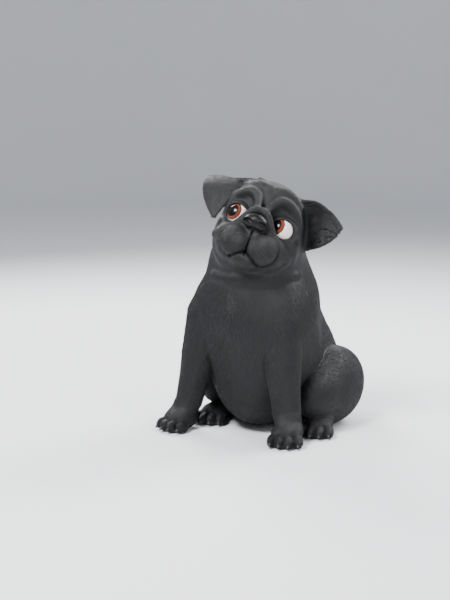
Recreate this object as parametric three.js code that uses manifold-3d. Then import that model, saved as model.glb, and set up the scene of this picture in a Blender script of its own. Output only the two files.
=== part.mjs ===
// A black pug sitting on the floor at life size, its head turned to its left, tilted and looking up.
// Millimetres. The dog faces -Y, its own left is +X, and it sits on the floor at z = 0.
// Each part of the body is a sum of soft round masses. A fine net is drawn over the sum, and the net
// is cut into named pieces that meet face to face with a thin gap.
import * as THREE from "three";
import { mergeVertices } from "three/addons/utils/BufferGeometryUtils.js";
import Module from "manifold-3d";

const wasm = await Module();
wasm.setup();

// Driving sizes of the dog
const GAP = 0.3;
const CHEST_HALF_WIDTH = 87;
const RUMP_HALF_WIDTH = 92;
const NECK_RADIUS = 76;
const FORELEG_RADIUS = 25;
const PAW_HALF_WIDTH = 26;
const EYE_RADIUS = 18;
const EYE_HALF_SPACING = 34;
const EAR_HALF_WIDTH = 35;
const TAIL_RADIUS = 14;

// The head's place and pose: yaw to its left, nose lifted, crown tipped to its left
const HEAD_CENTRE = [17, -16, 311];
const HEAD_YAW = 27;
const HEAD_LIFT = 16;
const HEAD_TILT = 19;

// Heights and planes where the body is parted
const LEG_TOP = 118;
const WRIST_HEIGHT = 46;
const TORSO_WAIST = 120;
const RUMP_FRONT = 62;

const rad = THREE.MathUtils.degToRad;

// Distance forms: each returns how far a point lies outside a shape, negative inside

function egg(centre, radii, turn = [0, 0, 0]) {
  const turned = new THREE.Matrix4().makeRotationFromEuler(new THREE.Euler(...turn.map(rad)));
  const e = turned.elements;
  const [rx, ry, rz] = radii;
  return (x, y, z) => {
    const dx = x - centre[0];
    const dy = y - centre[1];
    const dz = z - centre[2];
    const u = e[0] * dx + e[1] * dy + e[2] * dz;
    const v = e[4] * dx + e[5] * dy + e[6] * dz;
    const w = e[8] * dx + e[9] * dy + e[10] * dz;
    const near = Math.sqrt((u / rx) ** 2 + (v / ry) ** 2 + (w / rz) ** 2);
    const slope = Math.sqrt((u / rx ** 2) ** 2 + (v / ry ** 2) ** 2 + (w / rz ** 2) ** 2);
    return slope === 0 ? -Math.min(rx, ry, rz) : (near * (near - 1)) / slope;
  };
}

// A round rope through stations [x, y, z, radius], joined by straight tapered lengths
function rope(stations) {
  return (x, y, z) => {
    let best = Infinity;
    for (let i = 1; i < stations.length; i++) {
      const a = stations[i - 1];
      const b = stations[i];
      const bx = b[0] - a[0];
      const by = b[1] - a[1];
      const bz = b[2] - a[2];
      const along = ((x - a[0]) * bx + (y - a[1]) * by + (z - a[2]) * bz) / (bx * bx + by * by + bz * bz);
      const t = Math.min(1, Math.max(0, along));
      const px = x - a[0] - bx * t;
      const py = y - a[1] - by * t;
      const pz = z - a[2] - bz * t;
      best = Math.min(best, Math.sqrt(px * px + py * py + pz * pz) - a[3] - (b[3] - a[3]) * t);
    }
    return best;
  };
}

// A rope along a smooth curve through a few stations
function fold(stations, steps = 10) {
  const path = new THREE.CatmullRomCurve3(stations.map(([x, y, z]) => new THREE.Vector3(x, y, z)));
  const girth = new THREE.SplineCurve(stations.map((s, i) => new THREE.Vector2(i, s[3])));
  const fine = [];
  for (let i = 0; i <= steps; i++) {
    const p = path.getPoint(i / steps);
    fine.push([p.x, p.y, p.z, girth.getPoint(i / steps).y]);
  }
  return rope(fine);
}

const softMin = (a, b, k) => {
  const h = Math.max(k - Math.abs(a - b), 0) / k;
  return Math.min(a, b) - (h * h * k) / 4;
};

function merged(softness, ...forms) {
  return (x, y, z) => {
    let d = forms[0](x, y, z);
    for (let i = 1; i < forms.length; i++) d = softMin(d, forms[i](x, y, z), softness);
    return d;
  };
}

const carved = (softness, form, tool) => (x, y, z) => -softMin(-form(x, y, z), tool(x, y, z), softness);
const mirrored = (form) => (x, y, z) => form(Math.abs(x), y, z);

function placed(form, matrix) {
  const e = matrix.clone().invert().elements;
  return (x, y, z) =>
    form(
      e[0] * x + e[4] * y + e[8] * z + e[12],
      e[1] * x + e[5] * y + e[9] * z + e[13],
      e[2] * x + e[6] * y + e[10] * z + e[14],
    );
}

// Net over a form: one point in each cell that the surface crosses, and a square across each crossed edge
function net(form, xs, ys, zs) {
  const nx = xs.length;
  const ny = ys.length;
  const nz = zs.length;
  const value = new Float32Array(nx * ny * nz);
  const at = (i, j, k) => (k * ny + j) * nx + i;
  for (let k = 0; k < nz; k++)
    for (let j = 0; j < ny; j++)
      for (let i = 0; i < nx; i++) {
        const d = form(xs[i], ys[j], zs[k]);
        const rim = i === 0 || j === 0 || k === 0 || i === nx - 1 || j === ny - 1 || k === nz - 1;
        value[at(i, j, k)] = rim ? Math.max(d, 0.5) : d || 1e-6;
      }
  const points = [];
  const pointOf = new Int32Array(nx * ny * nz).fill(-1);
  for (let k = 0; k < nz - 1; k++)
    for (let j = 0; j < ny - 1; j++)
      for (let i = 0; i < nx - 1; i++) {
        const sum = [0, 0, 0];
        let crossings = 0;
        for (let corner = 0; corner < 8; corner++)
          for (let axis = 0; axis < 3; axis++) {
            if (corner & (1 << axis)) continue;
            const lo = [i + (corner & 1), j + ((corner >> 1) & 1), k + ((corner >> 2) & 1)];
            const hi = [...lo];
            hi[axis] += 1;
            const a = value[at(...lo)];
            const b = value[at(...hi)];
            if (a < 0 === b < 0) continue;
            const t = a / (a - b);
            sum[0] += xs[lo[0]] + (xs[hi[0]] - xs[lo[0]]) * t;
            sum[1] += ys[lo[1]] + (ys[hi[1]] - ys[lo[1]]) * t;
            sum[2] += zs[lo[2]] + (zs[hi[2]] - zs[lo[2]]) * t;
            crossings++;
          }
        if (!crossings) continue;
        pointOf[at(i, j, k)] = points.length / 3;
        const cell = [
          [xs[i], xs[i + 1]],
          [ys[j], ys[j + 1]],
          [zs[k], zs[k + 1]],
        ];
        points.push(...onSurface(form, sum.map((s) => s / crossings), cell));
      }
  const faces = [];
  const square = (inside, a, b, c, d) => {
    const [p, q, r, s] = inside ? [a, b, c, d] : [a, d, c, b];
    if (spanOf(points, p, r) < spanOf(points, q, s)) faces.push(p, q, r, p, r, s);
    else faces.push(p, q, s, q, r, s);
  };
  const cell = (i, j, k) => pointOf[at(i, j, k)];
  for (let k = 0; k < nz - 1; k++)
    for (let j = 0; j < ny - 1; j++)
      for (let i = 0; i < nx - 1; i++) {
        const here = value[at(i, j, k)] < 0;
        if (j && k && here !== value[at(i + 1, j, k)] < 0)
          square(here, cell(i, j - 1, k - 1), cell(i, j, k - 1), cell(i, j, k), cell(i, j - 1, k));
        if (i && k && here !== value[at(i, j + 1, k)] < 0)
          square(here, cell(i - 1, j, k - 1), cell(i - 1, j, k), cell(i, j, k), cell(i, j, k - 1));
        if (i && j && here !== value[at(i, j, k + 1)] < 0)
          square(here, cell(i - 1, j - 1, k), cell(i, j - 1, k), cell(i, j, k), cell(i - 1, j, k));
      }
  return new wasm.Manifold(
    new wasm.Mesh({ numProp: 3, vertProperties: new Float32Array(points), triVerts: new Uint32Array(faces) }),
  );
}

const spanOf = (points, a, b) =>
  Math.hypot(
    points[3 * a] - points[3 * b],
    points[3 * a + 1] - points[3 * b + 1],
    points[3 * a + 2] - points[3 * b + 2],
  );

// Share of a cell kept clear at its walls, so that the points of two cells never meet
const CELL_RIM = 0.02;

// One Newton step onto the surface, kept inside the cell so that the net can't tangle
function onSurface(form, [x, y, z], cell) {
  const probe = 0.4;
  const d = form(x, y, z);
  const slope = [
    (form(x + probe, y, z) - form(x - probe, y, z)) / (2 * probe),
    (form(x, y + probe, z) - form(x, y - probe, z)) / (2 * probe),
    (form(x, y, z + probe) - form(x, y, z - probe)) / (2 * probe),
  ];
  const steep = Math.max(0.3, slope[0] ** 2 + slope[1] ** 2 + slope[2] ** 2);
  return [x, y, z].map((v, i) => {
    const rim = (cell[i][1] - cell[i][0]) * CELL_RIM;
    return Math.min(cell[i][1] - rim, Math.max(cell[i][0] + rim, v - (d * slope[i]) / steep));
  });
}

// Grid lines from low to high, with an optional stretch of closer lines
function lines(low, high, step, fineLow = high, fineHigh = high, fineStep = step) {
  const out = [low];
  while (out.at(-1) < high) {
    const here = out.at(-1);
    out.push(here + (here >= fineLow && here < fineHigh ? fineStep : step));
  }
  return out;
}

// Solids

function solidOf(geometry, matrix = new THREE.Matrix4()) {
  const bare = geometry.clone().applyMatrix4(matrix);
  bare.deleteAttribute("normal");
  bare.deleteAttribute("uv");
  const whole = mergeVertices(bare, 1e-3);
  return new wasm.Manifold(
    new wasm.Mesh({
      numProp: 3,
      vertProperties: new Float32Array(whole.attributes.position.array),
      triVerts: new Uint32Array(whole.index.array),
    }),
  );
}

const largest = (solid) => solid.decompose().sort((a, b) => b.volume() - a.volume())[0];

function geometryOf(solid) {
  const mesh = solid.getMesh();
  const geometry = new THREE.BufferGeometry();
  const xyz = new Float32Array(mesh.numVert * 3);
  for (let i = 0; i < mesh.numVert; i++)
    xyz.set(mesh.vertProperties.subarray(i * mesh.numProp, i * mesh.numProp + 3), i * 3);
  geometry.setAttribute("position", new THREE.BufferAttribute(xyz, 3));
  geometry.setIndex(new THREE.BufferAttribute(new Uint32Array(mesh.triVerts), 1));
  geometry.computeVertexNormals();
  return geometry;
}

// The solid grown by a little more than the gap, for cutting its neighbours back
function swelled(solid) {
  const grown = geometryOf(solid);
  const place = grown.attributes.position;
  const normal = grown.attributes.normal;
  for (let i = 0; i < place.count; i++)
    place.setXYZ(
      i,
      place.getX(i) + normal.getX(i) * GAP * 1.2,
      place.getY(i) + normal.getY(i) * GAP * 1.2,
      place.getZ(i) + normal.getZ(i) * GAP * 1.2,
    );
  return solidOf(grown);
}

// Keeps the side of a plane that the normal points to, half a gap back from it
function above(solid, point, normal, gap = GAP / 2) {
  const n = new THREE.Vector3(...normal).normalize();
  return solid.trimByPlane(n.toArray(), n.dot(new THREE.Vector3(...point)) + gap);
}

const below = (solid, point, normal) => above(solid, point, normal.map((v) => -v));
const onFloor = (solid) => above(solid, [0, 0, 0], [0, 0, 1], 0);

// Trunk

const ribcage = egg([0, 8, 168], [CHEST_HALF_WIDTH, 79, 92], [15, 0, 0]);
const breast = egg([0, -40, 186], [56, 40, 60]);
const shoulders = mirrored(egg([59, -18, 166], [37, 48, 66], [8, 10, 0]));
const belly = egg([0, 28, 104], [92, 84, 84]);
const underbelly = egg([2, 0, 66], [58, 54, 58]);
const rump = egg([0, 94, 74], [RUMP_HALF_WIDTH, 68, 77]);
const back = rope([
  [0, 34, 248, 42],
  [0, 64, 190, 58],
  [0, 90, 125, 66],
  [0, 98, 80, 66],
]);
const nape = rope([
  [-1, 13, 216, NECK_RADIUS + 6],
  [-1, 1, 257, NECK_RADIUS],
  [11, -3, 292, NECK_RADIUS - 13],
]);
const trunk = merged(34, ribcage, breast, shoulders, belly, underbelly, rump, back, nape);

// Forelegs, each from its elbow to its wrist and paw

const FORELEGS = {
  left: { shoulder: [60, -28, 178], elbow: [68, -36, 120], wrist: [80, -41, 46], paw: [88, -51], turn: 22 },
  right: { shoulder: [-66, -34, 178], elbow: [-76, -46, 120], wrist: [-88, -59, 46], paw: [-94, -72], turn: -6 },
};
const TOE_SPREAD = (PAW_HALF_WIDTH * 2) / 4.1;

function toes(form) {
  const parts = [];
  for (const place of [-1.5, -0.5, 0.5, 1.5]) {
    const reach = Math.abs(place) > 1 ? -17.5 : -23.5;
    parts.push(egg([place * TOE_SPREAD, reach, 9.6], [PAW_HALF_WIDTH * 0.31, 15.5, 10.8], [0, 0, place * 7]));
  }
  const pads = egg([0, -17, 5], [PAW_HALF_WIDTH * 0.84, 17, 7]);
  return merged(2.5, form, pads, ...parts);
}

const pawPlace = (x, y, turn) => new THREE.Matrix4().makeRotationZ(rad(turn)).setPosition(x, y, 0);

function forelegForm({ shoulder, elbow, wrist, paw, turn }) {
  const middle = elbow.map((v, i) => (v + wrist[i]) / 2);
  const column = rope([
    [...shoulder, FORELEG_RADIUS + 12],
    [...elbow, FORELEG_RADIUS + 5],
    [...middle, FORELEG_RADIUS],
    [...wrist, FORELEG_RADIUS - 3],
    [paw[0], paw[1] + 4, 26, FORELEG_RADIUS - 5],
  ]);
  const palm = merged(8, egg([0, 5, 17], [22, 25, 17]), egg([0, -9, 19], [23, 18, 14.5]));
  return merged(9, column, placed(toes(palm), pawPlace(paw[0], paw[1], turn)));
}

// Hind legs: a broad thigh, the shank folded under it and the foot flat on the floor

const HINDLEGS = {
  left: { side: 1, toes: [98, 23], turn: 20 },
  right: { side: -1, toes: [-76, -4], turn: 8 },
};

function thighForm({ side }) {
  const haunch = egg([side * 83, 82, 65], [42, 76, 63], [0, 0, side * -4]);
  const knee = egg([side * 92, 30, 62], [27, 42, 40], [18, 0, 0]);
  return merged(18, haunch, knee);
}

function hindFootForm({ side, toes: [x, y], turn }) {
  const palm = merged(8, egg([0, 4, 16], [19, 24, 15.5]), egg([0, -9, 17], [20, 18, 13]));
  const heel = [side * 80, 84, 16];
  const middle = [(x + heel[0]) / 2, (y + heel[1]) / 2, 15];
  const sole = rope([
    [x, y + 10, 15, 16],
    [...middle, 15.5],
    [...heel, 17],
  ]);
  return merged(8, sole, placed(toes(palm), pawPlace(x, y, turn)));
}

// Tail: a tight curl carried against the back of the rump, drifting to the dog's right

const TAIL_STEPS = 26;
const TAIL_TURNS = 1.1;
const TAIL_CENTRE = [-4, 176, 108];
const TAIL_START_RADIUS = 27;
const TAIL_END_RADIUS = 12;
const TAIL_DRIFT = -44;

function tailStations() {
  const stations = [[0, 128, 62, TAIL_RADIUS + 6]];
  for (let i = 0; i <= TAIL_STEPS; i++) {
    const t = i / TAIL_STEPS;
    const angle = rad(-100 + 360 * TAIL_TURNS * t);
    const swing = TAIL_START_RADIUS + (TAIL_END_RADIUS - TAIL_START_RADIUS) * t;
    stations.push([
      TAIL_CENTRE[0] + TAIL_DRIFT * t * t,
      TAIL_CENTRE[1] + swing * Math.cos(angle),
      TAIL_CENTRE[2] + swing * Math.sin(angle),
      TAIL_RADIUS * (1 - 0.45 * t),
    ]);
  }
  return stations;
}

// Head, in its own frame: the face looks along -y, the crown is +z and the dog's left is +x

const headTurn = new THREE.Euler(rad(-HEAD_LIFT), rad(HEAD_TILT), rad(HEAD_YAW), "ZXY");
const headMatrix = new THREE.Matrix4().makeRotationFromEuler(headTurn).setPosition(...HEAD_CENTRE);
const EYE_DEPTH = -43;
const EYE_HEIGHT = 6;
const EYE_TURN_OUT = 14;

const skull = egg([0, 12, 18], [60, 61, 61]);
const brow = egg([0, -20, 32], [49, 36, 40]);
const cheeks = mirrored(egg([33, -8, -20], [30, 44, 38]));
const jowls = mirrored(egg([31, -36, -34], [21, 30, 26], [0, 0, 18]));
const muzzleRoot = egg([0, -44, -22], [40, 34, 28]);
const pads = mirrored(egg([20.5, -65, -33], [24, 20.5, 24.5], [0, 10, 14]));
const noseBridge = egg([0, -64, -2], [18, 16, 16]);
const socketRims = mirrored(egg([EYE_HALF_SPACING, EYE_DEPTH + 5, EYE_HEIGHT], [24, 18, 23]));
const jaw = egg([0, -26, -46], [40, 40, 20]);
const chin = merged(8, egg([0, -62, -54], [23, 17, 13]), egg([0, -40, -56], [27, 26, 13]));

const noseFold = mirrored(
  fold([
    [0, -74, 18, 6.5],
    [11, -72, 14, 7],
    [19, -68, 2, 7.5],
    [28, -64, -12, 8],
    [41, -55, -22, 9],
    [54, -38, -30, 9],
  ]),
);
// A fold that frames each eye: up from the nose fold, over the eye and down its outer side
const eyeFrame = mirrored(
  fold([
    [7, -69, 20, 6],
    [11, -60, 33, 6.5],
    [19, -54, 43, 7.5],
    [31, -48, 44, 8],
    [44, -39, 35, 8.5],
    [52, -29, 20, 8.5],
    [55, -20, 4, 8],
  ]),
);
const crownFold = mirrored(
  fold([
    [8, -42, 58, 6],
    [20, -37, 60, 7],
    [32, -29, 57, 7],
    [42, -19, 50, 6],
  ]),
);
const cheekFold = mirrored(
  fold([
    [56, -26, -8, 7],
    [57, -20, -22, 8],
    [51, -20, -42, 9],
    [37, -26, -57, 10],
    [18, -32, -63, 9],
  ]),
);

const headMass = merged(14, skull, brow, cheeks, jowls, muzzleRoot, jaw);
const headFace = merged(6, headMass, noseBridge, socketRims);
const headFolds = merged(8, headFace, noseFold, eyeFrame, crownFold, cheekFold);
const muzzle = merged(4, pads, egg([0, -58, -26], [26, 20, 18]));
const philtrum = rope([
  [0, -90, -12, 2.2],
  [0, -89, -46, 2.2],
]);
const headForm = carved(2, merged(7, headFolds, muzzle), philtrum);

// Nose leather with its two nostrils
const noseBody = merged(4, egg([0, -78, 1], [15, 11, 11.5]), mirrored(egg([10, -80, -2], [8.5, 9, 9])));
const nostrils = mirrored(
  fold([
    [5.5, -91, -2, 3],
    [10, -90, -1, 3.2],
    [17, -84, -4, 2.4],
  ]),
);
const noseForm = carved(1.5, noseBody, merged(1, nostrils, rope([[0, -92, -2, 1.6], [0, -88, -14, 1.6]])));

// A loose roll of skin round the front of the neck, under the chin
const THROAT_REACH = 72;
const THROAT_HEIGHT = 252;
const THROAT_HALF_TURN = 56;
const THROAT_RADII = [6, 9, 10, 9, 6];
const throatRoll = fold(
  THROAT_RADII.map((radius, i) => {
    const turn = THROAT_HALF_TURN * (i / 2 - 1);
    const angle = rad(HEAD_YAW + turn);
    const sag = 7 * Math.cos(rad(turn));
    const across = 1 + THROAT_REACH * Math.sin(angle);
    return [across, -3 - THROAT_REACH * Math.cos(angle), THROAT_HEIGHT - sag, radius];
  }),
);

// The whole dog without its limbs, in the body's frame, and the same seen from the head
const headInBody = placed(headForm, headMatrix);
const bodyWithHead = merged(14, merged(16, trunk, headInBody), throatRoll);
const headWithBody = placed(bodyWithHead, headMatrix.clone().invert());

// Pieces

const NECK_CUT = { point: [0, -26, -70], normal: [0, -0.5, 0.866] };
const NECK_BASE = { point: [0, 0, 236], normal: [0, -0.15, 1] };
const planeMoved = ({ point, normal }, matrix) => ({
  point: new THREE.Vector3(...point).applyMatrix4(matrix).toArray(),
  normal: new THREE.Vector3(...normal).transformDirection(matrix).toArray(),
});
const neckCutInBody = planeMoved(NECK_CUT, headMatrix);
const neckBaseInHead = planeMoved(NECK_BASE, headMatrix.clone().invert());
const SIDES = Object.entries({ left: 1, right: -1 });

const black = new THREE.MeshStandardMaterial({ color: 0x2b2b2e, roughness: 0.62, metalness: 0 });
const leather = new THREE.MeshStandardMaterial({ color: 0x0d0d0e, roughness: 0.35, metalness: 0 });
const eyeball = new THREE.MeshStandardMaterial({ color: 0x2a1008, roughness: 0.06, metalness: 0 });

const dog = new THREE.Group();
const headGroup = new THREE.Group();
headGroup.position.set(...HEAD_CENTRE);
headGroup.quaternion.setFromEuler(headTurn);
dog.add(headGroup);

// Points closer than a hundredth of a millimetre become one, and the faces that vanish are dropped
const WELD = 0.01;
function welded(solid) {
  const loose = geometryOf(solid);
  loose.deleteAttribute("normal");
  const tight = mergeVertices(loose, WELD);
  const index = tight.index.array;
  const kept = [];
  for (let i = 0; i < index.length; i += 3) {
    const [a, b, c] = index.subarray(i, i + 3);
    if (a !== b && b !== c && c !== a) kept.push(a, b, c);
  }
  tight.setIndex(kept);
  tight.computeVertexNormals();
  return tight;
}

function addPiece(name, solid, material, group = dog) {
  const mesh = new THREE.Mesh(welded(largest(solid)), material);
  mesh.name = name;
  group.add(mesh);
}

// Each eye's own frame: -y looks out of the opening
const eyePlace = (side) =>
  new THREE.Matrix4()
    .makeRotationZ(rad(side * EYE_TURN_OUT))
    .setPosition(side * EYE_HALF_SPACING, EYE_DEPTH, EYE_HEIGHT);
const ballOf = (side, radius) => solidOf(new THREE.SphereGeometry(radius, 16, 10), eyePlace(side));

// Two lids over a ball, open between two planes that meet behind its front
const LID_THICKNESS = 2.4;
const LID_OPENING = { front: -5, upper: 62, lower: 60 };
function lidsOf(side) {
  const block = new THREE.BoxGeometry(60, 60, 60);
  const place = eyePlace(side);
  const edge = new THREE.Vector3(0, LID_OPENING.front, 0).applyMatrix4(place).toArray();
  const upper = new THREE.Vector3(0, -Math.sin(rad(LID_OPENING.upper)), -Math.cos(rad(LID_OPENING.upper)));
  const lower = new THREE.Vector3(0, -Math.sin(rad(LID_OPENING.lower)), Math.cos(rad(LID_OPENING.lower)));
  let opening = solidOf(block, place.clone());
  for (const normal of [upper, lower])
    opening = above(opening, edge, normal.transformDirection(place).toArray(), 0);
  return ballOf(side, EYE_RADIUS + LID_THICKNESS).subtract(opening);
}

// Head with eye sockets and lids
const headGrid = [
  lines(-105, 114, 11, -61, 58, 6.8),
  lines(-97, 112, 12, -97, -24, 6.4),
  lines(-98, 78, 7),
];
const headAndNape = above(net(headWithBody, ...headGrid), NECK_CUT.point, NECK_CUT.normal);
const headSolid = above(headAndNape, neckBaseInHead.point, neckBaseInHead.normal);
const lidded = SIDES.reduce((solid, [, side]) => solid.add(lidsOf(side)), headSolid);
const head = SIDES.reduce((solid, [, side]) => solid.subtract(ballOf(side, EYE_RADIUS + GAP)), lidded);
addPiece("head", head, black, headGroup);
for (const [name, side] of SIDES) addPiece("eye_" + name, ballOf(side, EYE_RADIUS), eyeball, headGroup);

const headRoom = swelled(head);
const jawNet = net(chin, lines(-35, 35, 7), lines(-84, -8, 7), lines(-74, -34, 6));
addPiece("lower_jaw", above(jawNet.subtract(headRoom), NECK_CUT.point, NECK_CUT.normal), black, headGroup);
const noseNet = net(noseForm, lines(-21, 21, 3.5), lines(-96, -63, 3.5), lines(-16, 18, 3.5));
addPiece("nose", noseNet.subtract(headRoom), leather, headGroup);

// Ears: thin leaves that rise from the crown, fold over and hang. Each follows a curve from root to tip.
const EAR_ROWS = 11;
const EAR_COLUMNS = 7;
const EAR_WIDEST = 0.35;
const EAR_CUP = 11;
const EARS = {
  left: {
    line: [[40, 8, 27], [56, 10, 32], [70, 4, 35], [84, -5, 36], [98, -11, 39], [110, -14, 43]],
    across: [[-0.4, -0.1, 0.92], [-0.35, 0, 0.94]],
  },
  right: {
    line: [[-38, 16, 42], [-53, 12, 53], [-67, -2, 60], [-75, -16, 54], [-79, -28, 39], [-76, -36, 18], [-69, -40, -6]],
    across: [[-0.9, 0.1, -0.3], [-0.97, 0, -0.12], [-0.95, 0.2, -0.15], [-0.85, 0.3, -0.42]],
  },
};

// Share of the ear's full width from its root (0) to its blunt point (1)
function earProfile(v) {
  const past = Math.max(0, v - EAR_WIDEST) / (1 - EAR_WIDEST);
  return Math.max(0.05, (1 - past ** 1.6) ** 0.8);
}

function earGeometry({ line, across }) {
  const spine = new THREE.CatmullRomCurve3(line.map((p) => new THREE.Vector3(...p)));
  const crosswise = across.map((a) => new THREE.Vector3(...a).normalize());
  const leaf = new THREE.BoxGeometry(2, 1, 1, EAR_COLUMNS, EAR_ROWS, 1);
  const corners = leaf.attributes.position;
  for (let i = 0; i < corners.count; i++) {
    const u = corners.getX(i);
    const v = corners.getY(i) + 0.5;
    const skin = corners.getZ(i);
    const half = EAR_HALF_WIDTH * earProfile(v);
    const place = v * (crosswise.length - 1);
    const before = Math.min(Math.floor(place), crosswise.length - 2);
    const sideways = crosswise[before].clone().lerp(crosswise[before + 1], place - before);
    const along = spine.getTangent(v);
    const backward = new THREE.Vector3().crossVectors(sideways, along).normalize();
    sideways.crossVectors(along, backward).normalize();
    const cup = EAR_CUP * (1 - v) * u * u;
    const p = spine.getPoint(v);
    p.addScaledVector(sideways, u * half);
    p.addScaledVector(backward, skin * (3.4 - 1.2 * v) - cup);
    corners.setXYZ(i, p.x, p.y, p.z);
  }
  return leaf;
}
for (const [name, ear] of Object.entries(EARS)) {
  const leaf = solidOf(earGeometry(ear));
  addPiece("ear_" + name, leaf.subtract(headRoom), black, headGroup);
}

// Neck and torso
const torsoGrid = [lines(-128, 128, 16.6), lines(-112, 182, 16.6), lines(-16, 330, 16.6)];
const withLegs = merged(20, bodyWithHead, ...Object.values(FORELEGS).map(forelegForm));
const torsoNet = net(withLegs, ...torsoGrid);
addPiece(
  "neck",
  above(below(torsoNet, neckCutInBody.point, neckCutInBody.normal), NECK_BASE.point, NECK_BASE.normal),
  black,
);
const torso = below(torsoNet, NECK_BASE.point, NECK_BASE.normal);
addPiece("chest", above(torso, [0, 0, TORSO_WAIST], [0, 0, 1]), black);
const legless = net(trunk, ...torsoGrid);
const lower = onFloor(below(legless, [0, 0, TORSO_WAIST], [0, 0, 1]));
addPiece("belly", below(lower, [0, RUMP_FRONT, 0], [0, 1, 0]), black);
addPiece("rump", above(lower, [0, RUMP_FRONT, 0], [0, 1, 0]), black);
const trunkRoom = swelled(legless);
const torsoRoom = swelled(torsoNet);

// A short curved claw on each toe
function claws(solid, place) {
  let out = solid;
  for (const at of [-1.5, -0.5, 0.5, 1.5]) {
    const reach = Math.abs(at) > 1 ? -30.5 : -36.5;
    const claw = new THREE.ConeGeometry(2.6, 11, 6);
    claw.rotateX(rad(202)).translate(at * TOE_SPREAD * 1.1, reach, 8);
    out = out.add(solidOf(claw, place));
  }
  return out;
}

// Legs
for (const [name, leg] of Object.entries(FORELEGS)) {
  const side = Math.sign(leg.elbow[0]);
  const upperGrid = [
    side > 0 ? lines(26, 130, 10) : lines(-136, -26, 10),
    lines(-124, 12, 10),
    lines(30, 150, 12),
  ];
  const column = net(forelegForm(leg), ...upperGrid).subtract(trunkRoom);
  const upper = above(column, [0, 0, WRIST_HEIGHT], [0, 0, 1]);
  addPiece("foreleg_" + name, below(upper, [0, 0, LEG_TOP], [0, 0, 1]), black);
  const pawGrid = [
    side > 0 ? lines(34, 138, 6.9) : lines(-142, -34, 6.9),
    lines(-122, 10, 6.9),
    lines(-5, 58, 6.7),
  ];
  const paw = claws(net(forelegForm(leg), ...pawGrid), pawPlace(leg.paw[0], leg.paw[1], leg.turn));
  addPiece("forepaw_" + name, onFloor(below(paw, [0, 0, WRIST_HEIGHT], [0, 0, 1])), black);
}
for (const [name, leg] of Object.entries(HINDLEGS)) {
  const thighGrid = [
    leg.side > 0 ? lines(20, 140, 13) : lines(-140, -20, 13),
    lines(-44, 176, 13),
    lines(-13, 146, 13),
  ];
  const thigh = largest(onFloor(net(thighForm(leg), ...thighGrid)).subtract(torsoRoom));
  addPiece("thigh_" + name, thigh, black);
  const footGrid = [
    leg.side > 0 ? lines(40, 142, 7.2) : lines(-142, -40, 7.2),
    lines(-50, 112, 10, -50, 20, 7.2),
    lines(-5, 50, 6.7),
  ];
  const foot = claws(net(hindFootForm(leg), ...footGrid), pawPlace(...leg.toes, leg.turn));
  addPiece("hind_foot_" + name, onFloor(foot).subtract(swelled(thigh)).subtract(trunkRoom), black);
}

// Tail
const tailNet = net(rope(tailStations()), lines(-70, 40, 7.6), lines(96, 236, 7.6), lines(30, 170, 7.6));
addPiece("tail", tailNet.subtract(torsoRoom), black);

// The origin lies on the floor under the middle of the whole dog
const extent = new THREE.Box3().setFromObject(dog, true);
const centre = extent.getCenter(new THREE.Vector3());
dog.position.set(-centre.x, -centre.y, 0);

export default dog;
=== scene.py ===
"""Dresses the sitting black pug: one skin, short fur, eyes, nose leather, claws and whiskers.

The body is a sum of soft round masses, in millimetres, seen from the dog's own frame: it faces -Y, its
left is +X and the floor is z = 0. A fine net is drawn over the sum and carries the fur. Everything is
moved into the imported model's frame, in metres, when a mesh is made.
"""

import math
from itertools import product

import bpy
import numpy as np
from mathutils import Matrix, Vector
from mathutils.kdtree import KDTree


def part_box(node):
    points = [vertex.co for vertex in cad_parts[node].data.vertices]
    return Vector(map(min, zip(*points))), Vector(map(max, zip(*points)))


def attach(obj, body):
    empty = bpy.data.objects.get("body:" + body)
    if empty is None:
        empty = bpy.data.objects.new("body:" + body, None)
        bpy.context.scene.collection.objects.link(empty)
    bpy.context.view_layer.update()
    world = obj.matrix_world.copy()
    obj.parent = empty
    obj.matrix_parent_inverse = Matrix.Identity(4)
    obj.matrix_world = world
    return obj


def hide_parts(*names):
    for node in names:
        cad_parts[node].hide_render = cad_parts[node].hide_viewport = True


bl_info = {
    "name": "Sitting Pug",
    "version": (1, 0, 0),
    "blender": (4, 5, 0),
    "location": "3D View > Sidebar > Pug",
    "description": "Builds the skin, coat, eyes, nose, claws and whiskers of a sitting black pug",
    "category": "Add Mesh",
}

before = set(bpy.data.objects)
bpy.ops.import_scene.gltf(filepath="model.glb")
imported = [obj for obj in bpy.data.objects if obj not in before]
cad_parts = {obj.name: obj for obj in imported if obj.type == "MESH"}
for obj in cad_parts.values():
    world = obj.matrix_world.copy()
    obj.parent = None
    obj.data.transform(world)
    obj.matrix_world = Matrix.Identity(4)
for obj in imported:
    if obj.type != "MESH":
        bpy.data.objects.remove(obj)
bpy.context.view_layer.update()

# Driving sizes of the dog, in millimetres
CHEST_HALF_WIDTH = 87
RUMP_HALF_WIDTH = 92
NECK_RADIUS = 76
FORELEG_RADIUS = 25
PAW_HALF_WIDTH = 26
EAR_HALF_WIDTH = 35
TAIL_RADIUS = 14
EYE_RADIUS = 18.0

# The head's place and pose: yaw to its left, nose lifted, crown tipped to its left
HEAD_CENTRE = np.array([17.0, -16.0, 311.0])
HEAD_YAW = 27
HEAD_LIFT = 16
HEAD_TILT = 19

# The eyes' places in the head's frame, and how far each opening turns outward
EYE_DEPTH = -43
EYE_HEIGHT = 6
EYE_HALF_SPACING = 34
EYE_TURN_OUT = 14

# The solids that the one skin stands in for
FLESH = (
    "head", "lower_jaw", "ear_left", "ear_right", "neck", "chest", "belly", "rump",
    "foreleg_left", "foreleg_right", "forepaw_left", "forepaw_right", "thigh_left", "thigh_right",
    "hind_foot_left", "hind_foot_right", "tail",
)


# Turning and placing


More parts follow.
